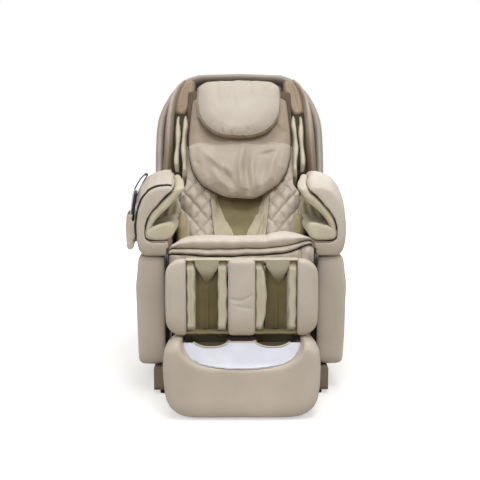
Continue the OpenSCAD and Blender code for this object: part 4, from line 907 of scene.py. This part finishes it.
rings = []
stations = smooth_line(STATIONS, 7)
for s, rear, crest, first, second in stations:
    side = seat_profile(CUSHION_H * rear, CUSHION_H * crest, first, second)
    x = SEAT_HALF * s
    dip = 0.006 * bell(x, 0.09) * rise(side[:, 0], 0.03, 0.155)
    rings.append(on_seat(points_at(x, side[:, 0], side[:, 1] - dip)))
seat = skin("seat_cushion_cover", rings)
settle(seat, ONCE_FINER)
q = off_seat(points_of(seat))
x, y, z = q.T
top = rise(z, 0.05, 0.07)
z -= bell(np.abs(x) - 0.086, 0.0035) * 0.003 * top
z += 0.0022 * wave(q, 0.15, 21) * top
# The front's cloth gathers at the right corner in an upright roll, and pulls in small puckers along the folds
lower = np.clip((0.062 - z) * 30, 0, 1) * (y < 0.02) * (z > -0.006)
y += lower * (0.008 * bell(x - 0.203, 0.005) - 0.01 * bell(x - 0.226, 0.014))
front = bell(y + 0.01, 0.02) * (z > -0.004)
z += front * (fold_ripple(x) + 0.0007 * np.sin(x * 71 + 0.4))
y += front * 0.0016 * np.sin(x * 118 + z * 60)
move_points(seat, on_seat(q))
done(seat, "seat", SEAT_LEATHER, ["seat_cushion"])
# Dark cords along the front's two folds: painted shade in the creases
x, _, crest, first, second = stations[5:-5].T * [[SEAT_HALF], [1], [CUSHION_H], [1], [1]]
for name, fold, radius, finish in (("upper", first, 0.0023, BROWN_CORD), ("lower", second, 0.0032, PIPING)):
    line = on_seat(points_at(x, 0.0005, crest * fold + fold_ripple(x)))
    done(tube("seat_fold_shade_cord_" + name, line, radius, 6), "seat", finish)
bags = from_cad("hip_airbags", "hip_air_cushions", 0.0045, 8)
p = points_of(bags)
x, y, z = p.T
x += np.sign(x) * np.clip(np.abs(x) - 0.218, 0, 1) * 0.75 * rise(y, 0.035, 0.01)
z += np.clip(z - 0.55, 0, 1) * 0.32
p += raised(bags, 0.0018 * wave(p, 0.05, 22))
y += 0.004 * bell(np.abs(x) - 0.221, 0.004) * (y < -0.05)
move_points(bags, p)
done(bags, "seat", CHANNEL_CLOTH, ["hip_airbags"])

HIP_SHADE_OUTLINE = np.array([[292, 470], [292, 520], [268, 600], [256, 624], [240, 622], [224, 600], [218, 470]]) / 1000
# Dark cloth closes the slot between the seat's ends and the armrests, and stands behind the hip cushions: painted shade
# in these slots
for side, sign in SIDES:
    rings = []
    for y in np.linspace(0.03, 0.515, 24):
        top = 0.046 + 0.003 * math.sin(y * 90)
        section = ((0.2508, -0.012), (0.2508, top - 0.006), (0.254, top), (0.2625, top - 0.004), (0.2635, -0.012))
        rings.append(on_seat([[sign * x, y, z] for x, z in section]))
    slot_shade = skin("seat_slot_shade_" + side, rings)
    settle(slot_shade, ("BEVEL", {"width": 0.001, "segments": 2}))
    done(slot_shade, "seat", DARK_CLOTH, ())
    wall = lobe("hip_slot_shade_" + side, on_side(HIP_SHADE_OUTLINE, sign), 0.06, [(0, 0.001), (0.003, 0), (0.009, 0.002)],
                upright, 1, 0.003)
    done(wall, "seat", DARK_CLOTH, ())

# Section of an armrest: X in shares of its width, Z from 0 at the tray to 1 at the crest. Both grow along it
ARM_IN, ARM_W, TRAY_TOP, ARM_RISE = 0.264, 0.116, 0.56, 0.214
ARM_Y = [-0.35, -0.343, -0.29, -0.23, -0.17, -0.08, 0.02, 0.07, 0.1]
ARM_WIDTHS = [0.95, 0.98, 1.03, 1.07, 1.13, 1.22, 1.26, 1.2, 1.16]
ARM_HEIGHTS = [0.97, 1.0, 1.08, 1.16, 1.2, 1.17, 1.1, 1.0, 0.93]
# Roll of the cavity lining: line against the leather, and line of its free face. Then the lines of the piping
# round the cavity's mouth and of the strap's edge
ROLL_SEAT = np.array([
    [-0.1, 0.945], [-0.11, 0.93], [-0.12, 0.9], [-0.1, 0.85], [-0.01, 0.8], [0.07, 0.74], [0.29, 0.63],
    [0.48, 0.53], [0.6, 0.43], [0.662, 0.33], [0.7, 0.226], [0.7, 0.12]])
ROLL_FACE = np.array([
    [-0.25, 0.96], [-0.33, 0.965], [-0.4, 0.95], [-0.44, 0.915], [-0.44, 0.86], [-0.38, 0.79], [-0.23, 0.68],
    [-0.06, 0.6], [0.12, 0.52], [0.3, 0.42], [0.45, 0.32], [0.59, 0.16]])
C_LINE = np.array([
    [-0.05, 0.955], [-0.056, 0.92], [-0.05, 0.85], [0.03, 0.77], [0.131, 0.685], [0.322, 0.585], [0.481, 0.498],
    [0.578, 0.412], [0.636, 0.328], [0.67, 0.226], [0.668, 0.142], [0.6, 0.07], [0.5, 0.045], [0.25, 0.04],
    [0.03, 0.04]])
STRAP_LINE = np.array([
    [-0.045, 0.87], [-0.06, 0.93], [-0.01, 0.995], [0.12, 1.012], [0.34, 0.99], [0.56, 0.918], [0.79, 0.76],
    [0.935, 0.565], [1.005, 0.4], [1.02, 0.22], [1.0, 0.06]])
# Front views of the tray pad, whose inner end swells to a lobe, and of the padded wall behind the elbow
TRAY = np.array([
    [350, 606], [350, 588], [344, 573], [322, 570], [299, 569], [273, 569], [254, 575], [243, 590], [238, 608],
    [238, 622], [244, 633], [256, 637], [272, 633], [298, 627], [328, 618]]) / 1000
ELBOW = np.array([
    [375, 575], [375, 700], [330, 716], [285, 712], [256, 690], [243, 664], [239, 640], [245, 612], [256, 588],
    [275, 573]]) / 1000
# Along an armrest from its front: how full the roll is, and the size of the tray pad and how far its top sinks
ROLL_FULL = ((-0.3475, 0.4), (-0.345, 0.72), (-0.339, 0.92), (-0.325, 1), (-0.29, 1), (-0.25, 0.98), (-0.2, 1),
             (-0.15, 0.97), (-0.1, 1), (-0.05, 0.97), (0.0, 0.96), (0.035, 0.9), (0.058, 0.75), (0.0685, 0.5))
TRAY_ENDS = ((-0.3465, 0.86, 0), (-0.344, 0.95, 0), (-0.338, 0.99, 0), (-0.325, 1, 0), (-0.27, 1, 0.004),
             (-0.2, 1, 0.01), (-0.1, 1, 0.012), (0.0, 1, 0.012), (0.06, 0.97, 0.012))


def arm_points(line, y):
    """Points of an armrest's section at a place along it."""
    wide, high = np.interp(y, ARM_Y, ARM_WIDTHS), np.interp(y, ARM_Y, ARM_HEIGHTS)
    x = ARM_IN + ARM_W * line[:, 0] * np.where(line[:, 0] > 0, wide, np.interp(y, [-0.34, 0.05], [1.0, 0.5]))
    return points_at(x, y, TRAY_TOP + line[:, 1] * ARM_RISE * high)


def settled_crest(p):
    """Padding of an armrest's crest, sunk a little and drawn towards the outside."""
    x, y, z = p.T
    z -= 0.01 * rise(z, 0.72, 0.79) * rise(np.abs(x), 0.365, 0.315)
    x -= 0.014 * np.sign(x) * rise(z, 0.73, 0.76) * rise(np.abs(x), 0.31, 0.27) * rise(y, -0.18, -0.26)
    return p


for side, sign in SIDES:
    flip = np.array([sign, 1, 1])
    arm = from_cad("armrest_" + side, "armrest_cover_" + side, 0.005, 7)
    p = settled_crest(points_of(arm))
    x, y, z = p.T
    # The lower edge of the front face is drawn up, and a seam runs round behind that face
    z += 0.007 * rise(z, 0.54, 0.565) * rise(z, 0.6, 0.58) * rise(np.abs(x), 0.35, 0.338) * rise(y, -0.31, -0.33)
    move_points(arm, p + raised(arm, 0.0014 * wave(p, 0.16, 31) - 0.002 * bell(y + 0.337, 0.004)))
    done(arm, "seat", ARM_LEATHER, ["armrest_" + side])
    edge = laid_on(arm, smooth_line(settled_crest(arm_points(C_LINE, -0.352)) * flip, 5))
    done(tube("face_piping_" + side, edge, 0.0013, 6), "seat", PIPING)

    rings = []
    middle = (ROLL_SEAT + ROLL_FACE) / 2
    for y, full in ROLL_FULL:
        face = ROLL_SEAT + (ROLL_FACE - ROLL_SEAT) * full
        seat_side = middle + (ROLL_SEAT - middle) * (1 if full > 0.9 else 0.8)
        rings.append(settled_crest(arm_points(np.vstack([face, seat_side[::-1]]), y)) * flip)
    roll = padded(skin("cavity_lining_" + side, rings), 0.0042, 7, ONCE_FINER)
    uneven(roll, 0.0016, 0.06, 32)
    done(roll, "seat", LINING, ["armrest_lining_" + side])
    # Painted shade: darker olive cloth on the lining's faces deep in the cavity
    second_finish(roll, OLIVE, lambda c, n: (c[:, 1] > -0.285) & (c[:, 2] < 0.7))

    rings = []
    middle = TRAY.mean(0)
    for y, size, sink in TRAY_ENDS:
        line = middle + (TRAY - middle) * size
        line[:, 1] -= sink * rise(line[:, 1], 0.575, 0.615)
        rings.append(points_at(line[:, 0], y, line[:, 1]) * flip)
    tray = padded(skin("forearm_pad_" + side, rings), 0.0042, 4, ONCE_FINER)
    p = points_of(tray)
    p[:, 2] += 0.002 * wave(p, 0.07, 33) * (p[:, 2] > 0.59)
    move_points(tray, p)
    done(tray, "seat", LINING, ["armrest_tray_" + side])

    wall = lobe("elbow_pad_" + side, on_side(ELBOW, sign), 0.0695,
                [(0, 0.006), (0.006, 0.001), (0.016, 0), (0.024, 0.006), (0.029, 0.018)], upright, 4, 0.0045)
    p = points_of(wall)
    p[:, 1] += 0.0035 * np.sin(np.abs(p[:, 0]) * 210 + p[:, 2] * 60) * (p[:, 1] < 0.05)
    move_points(wall, p)
    done(wall, "seat", LINING, ())

bag = from_cad("saddlebag", "handset_saddlebag", 0.003, 6)
p = settled_crest(points_of(bag))
move_points(bag, p + raised(bag, 0.0014 * wave(p, 0.06, 41)))
done(bag, "seat", LEATHER, ["saddlebag"])
# A dark cord along the strap's edge: painted shadow of the gap between the strap and the armrest
edge = smooth_line(settled_crest(arm_points(STRAP_LINE, -0.344)) * [-1, 1, 1], 5)
done(tube("strap_edge_shadow_cord", laid_on(bag, edge, 0.0025), 0.0034, 8), "seat", PIPING)

remote = from_cad("handset", "handset_case", 0.0018, 5)
done(remote, "seat", BLACK, ["handset"])
# Silver on the half that faces away from the armrest. The halves meet in a plane that leans as the handset does
lean = np.polyfit(points_of(remote)[:, 2], points_of(remote)[:, 0], 1)
second_finish(remote, SILVER, lambda c, n: c[:, 0] < np.polyval(lean, c[:, 2]) - 0.0005)

# ---- leg rest and foot unit


def corners(x0, x1, z0, z1, inner, outer):
    """Outline of a pad: x0 is its inner edge, x1 its outer one, each with its own corner radius."""
    out = []
    for cx, cz, r, start in ((x1, z0, outer, -90), (x1, z1, outer, 0), (x0, z1, inner, 90), (x0, z0, inner, 180)):
        for a in np.radians(np.linspace(start, start + 90, 7)):
            sx = 1 if cx == x1 else -1
            out.append([cx - sx * r + r * math.cos(a), cz + (r if cz == z0 else -r) + r * math.sin(a)])
    return np.array(out)


tub = from_cad("calf_shell", "calf_tub_cover", 0.006, 6)
move_points(tub, points_of(tub) * [1.015, 1, 1])
done(tub, "leg_rest", LEATHER, ["calf_shell"])
PAD_STEPS = [(0, 0.003), (0.008, 0), (0.034, 0), (0.041, 0.0025), (0.0455, 0.008), (0.0475, 0.018)]
for name, x0, x1, r0, r1 in (("left", 0.1885, 0.256, 0.008, 0.052), ("middle", -0.0465, 0.0465, 0.012, 0.012),
                             ("right", 0.1885, 0.256, 0.008, 0.052)):
    outline = on_side(corners(x0, x1, 0.271, 0.5345, r0, r1), -1 if name == "left" else 1)
    pad = lobe("calf_pad_" + name, outline, -0.5045, PAD_STEPS, upright, 2, 0.0042)
    p = points_of(pad)
    x, y, z = p.T
    face = y < -0.53
    y += face * (0.0012 * wave(p, 0.1, 51) - 0.0016)
    if name == "middle":
        # Two creases across the middle pad, one bowed and one straight
        bowed = bell(z - 0.395 - 10 * (x + 0.01) ** 2, 0.005) * (np.abs(x) < 0.036)
        straight = bell(z - 0.372 + 0.18 * x, 0.006) * (x > -0.02)
        y += face * (0.004 * bowed + 0.003 * straight)
    else:
        y += face * 0.0022 * bell(np.abs(x) - 0.24, 0.0016)
        belly = 0.004 * (1 - ((z - 0.4) / 0.135) ** 2)
        x += np.sign(x) * belly * rise(np.abs(x), 0.21, 0.25)
    move_points(pad, p)
    done(pad, "leg_rest", CALF_LEATHER, ["calf_pads"])

# Thin air cushions beside the calves, between two heights: shares of the width, and Y, of their section
BAND_LOW, BAND_HIGH, BAND_REAR = 0.276, 0.528, -0.497
BAND_SECTION = ((0.0, BAND_REAR), (0.0, -0.53), (0.06, -0.5385), (0.22, -0.5425), (0.36, -0.5385), (0.5, -0.5425),
                (0.78, -0.5425), (0.94, -0.537), (1.0, -0.529), (1.0, BAND_REAR))
# Each: X of its fixed and its free edge, and how much its ends taper
for name, fixed, free, leaf in (("left_outer", -0.1865, -0.157, 0.1), ("left_inner", -0.081, -0.047, 0.1),
                                ("right_inner", 0.0475, 0.088, 1.0), ("right_outer", 0.1865, 0.157, 0.1)):
    rings = []
    phase = min(fixed, free)
    for z in np.linspace(BAND_LOW, BAND_HIGH, 60):
        t = (z - BAND_LOW) / (BAND_HIGH - BAND_LOW)
        end = min(1.0, 6.5 * min(t, 1 - t) + 0.35)
        narrow = 1 - leaf * (1 - math.sin(math.pi * min(1, max(0.0, t * 0.92 + 0.04))) ** 0.7) * 0.75
        tip = fixed + (free - fixed) * (0.94 * narrow + 0.05 * math.sin(z * 70 + phase * 40) * (1 - leaf))
        a, b = sorted((fixed, tip))
        rings.append([[a + (b - a) * u, BAND_REAR + (y - BAND_REAR) * end, z] for u, y in BAND_SECTION])
    band = skin("calf_air_cushion_" + name, rings)
    settle(band, ONCE_FINER)
    p = points_of(band)
    p[:, 0] += 0.0011 * np.sin(p[:, 2] * 90 + phase * 50) * (p[:, 1] < -0.52)
    move_points(band, p)
    done(band, "leg_rest", LINING, ["calf_airbags"])

# Rolled edges across the top and bottom of the channels
around = np.radians(np.arange(0, 360, 30))
for name, z0, z1, finish in (("top", 0.527, 0.5365, LINING), ("bottom", 0.2715, 0.286, DEEP_OLIVE)):
    rings = [points_at(x, -0.519 + 0.022 * np.cos(around),
                       (z0 + z1) / 2 + (z1 - z0) / 2 * np.sin(around) - 0.0006 * math.sin(x * 130))
             for x in np.linspace(-0.19, 0.19, 40)]
    roll = skin("calf_" + name + "_roll", rings)
    settle(roll, ONCE_FINER)
    done(roll, "leg_rest", finish, ())

# Stretch lining of each channel, and the paler tongue that hangs from the top edge down to it
CHANNEL_HALF = 0.0405
for side, middle in (("left", -0.1175), ("right", 0.1215)):
    rows = []
    for z in np.linspace(0.522, 0.28, 90):
        x = np.linspace(-CHANNEL_HALF, CHANNEL_HALF, 40)
        s = np.abs(x) / CHANNEL_HALF
        front = -0.4845 - 0.016 * s**4 - 0.0016 * np.sin(x * 190 + z * 9)
        front -= 0.006 * bell(x, 0.006) * np.clip((0.45 - z) * 14, 0, 1) + 0.022 * rise(z, 0.49, 0.522) ** 2
        line = points_at(middle + x, front, z)
        rows.append(np.vstack([line, line[::-1] + [0, 0.0022, 0]]))
    done(skin("calf_channel_lining_" + side, rows), "leg_rest", DEEP_OLIVE, ())
    rows = []
    for t in np.linspace(0, 1, 40):
        half = np.interp(t, [0, 0.25, 0.4, 0.55, 0.7, 0.85, 1], [0.0412, 0.0405, 0.035, 0.027, 0.02, 0.015, 0.01])
        x = np.linspace(-half, half, 30)
        s = np.abs(x) / half
        lean = 0.006 if side == "right" else 0.0
        y = -0.5435 + 0.052 * t**0.85 + 0.05 * max(0.0, t - 0.8)
        y += 0.004 * s**2 * (1 - t) + 0.0035 * bell(x + 0.002, 0.005) * t
        line = points_at(middle + x + lean * t, y, 0.5335 - 0.098 * t + 0.01 * s**2 * t)
        rows.append(np.vstack([line, line[::-1] + [0, 0.002, -0.001]]))
    done(skin("calf_channel_tongue_" + side, rows), "leg_rest", TONGUE_CLOTH, ())


def opened(p):
    """Widens the toe panel's opening a little and lifts its lower edge, for the panel and the leather round it."""
    x, y, z = p.T
    near = rise(y, -0.53, -0.56) * rise(z, 0.1, 0.16)
    x *= 1 + 0.03 * near * rise(np.abs(x), 0.252, 0.212)
    z += 0.008 * near * rise(z, 0.245, 0.185)
    return p


foot = from_cad("foot_shell", "foot_unit_cover", 0.006, 5)
p = points_of(foot)
x, y, z = p.T
fuller = rise(z, 0.2, 0.08) * rise(y, -0.45, -0.55)
z -= 0.0085 * fuller * rise(z, 0.19, 0.09)
y -= 0.006 * fuller * bell(z - 0.05, 0.05)
x *= 1 + 0.022 * rise(z, 0.262, 0.232)
p = opened(p)
move_points(foot, p + raised(foot, 0.0012 * wave(p, 0.2, 61)))
done(foot, "foot_unit", FOOT_LEATHER, ["foot_shell"])
# Painted shade: dark cloth round the wells, under the calf unit
second_finish(foot, DARK_CLOTH, lambda c, n: (np.abs(c[:, 0]) < 0.188) & (c[:, 2] > 0.252) & (c[:, 1] > -0.57))
toe = from_cad("toe_panel", "toe_cover", 0.003, 4)
move_points(toe, opened(points_of(toe) * [1.015, 1, 1]))
done(toe, "foot_unit", SILVER, ["toe_panel"])


# Rear edge of the toe panel, where a point that misses the panel is put
TOE_REAR = -0.5455


def seen_on(piece, line, lift):
    """A line of points carried along +Y onto a piece, standing off it by lift."""
    out = []
    for x, y, z in line:
        hit, place, normal, _ = piece.ray_cast(Vector((x, -0.8, z)), Vector((0, 1, 0)))
        out.append(place + normal * lift if hit else Vector((x, TOE_REAR, z)))
    return np.array(out)


# Rims of the foot wells over the toe panel's top edge, and dark sheets under them: painted shade inside the wells
for side, sign in SIDES:
    ends = np.linspace(-1, 1, 31)
    arc = points_at(sign * 0.1045 + 0.059 * ends, -0.63, 0.2365 + 0.0125 * np.abs(ends) ** 2.5)
    rim = seen_on(toe, arc, 0.0012)
    done(tube("cup_rim_" + side, rim, 0.0032, 8), "foot_unit", LINING)
    rows = []
    for t in np.linspace(0, 1, 8):
        front = seen_on(toe, arc * [1, 1, 1 - t] + [0, 0, 0.2495 * t], 0.0009)
        rows.append(np.vstack([front, front[::-1] + [0, 0.0006, -0.0006]]))
    done(skin("cup_well_shade_" + side, rows), "foot_unit", DARK_CLOTH, ())
cups = from_cad("foot_wells", "foot_well_linings", 0.003, 3)
done(cups, "foot_unit", LINING, ["foot_wells"])
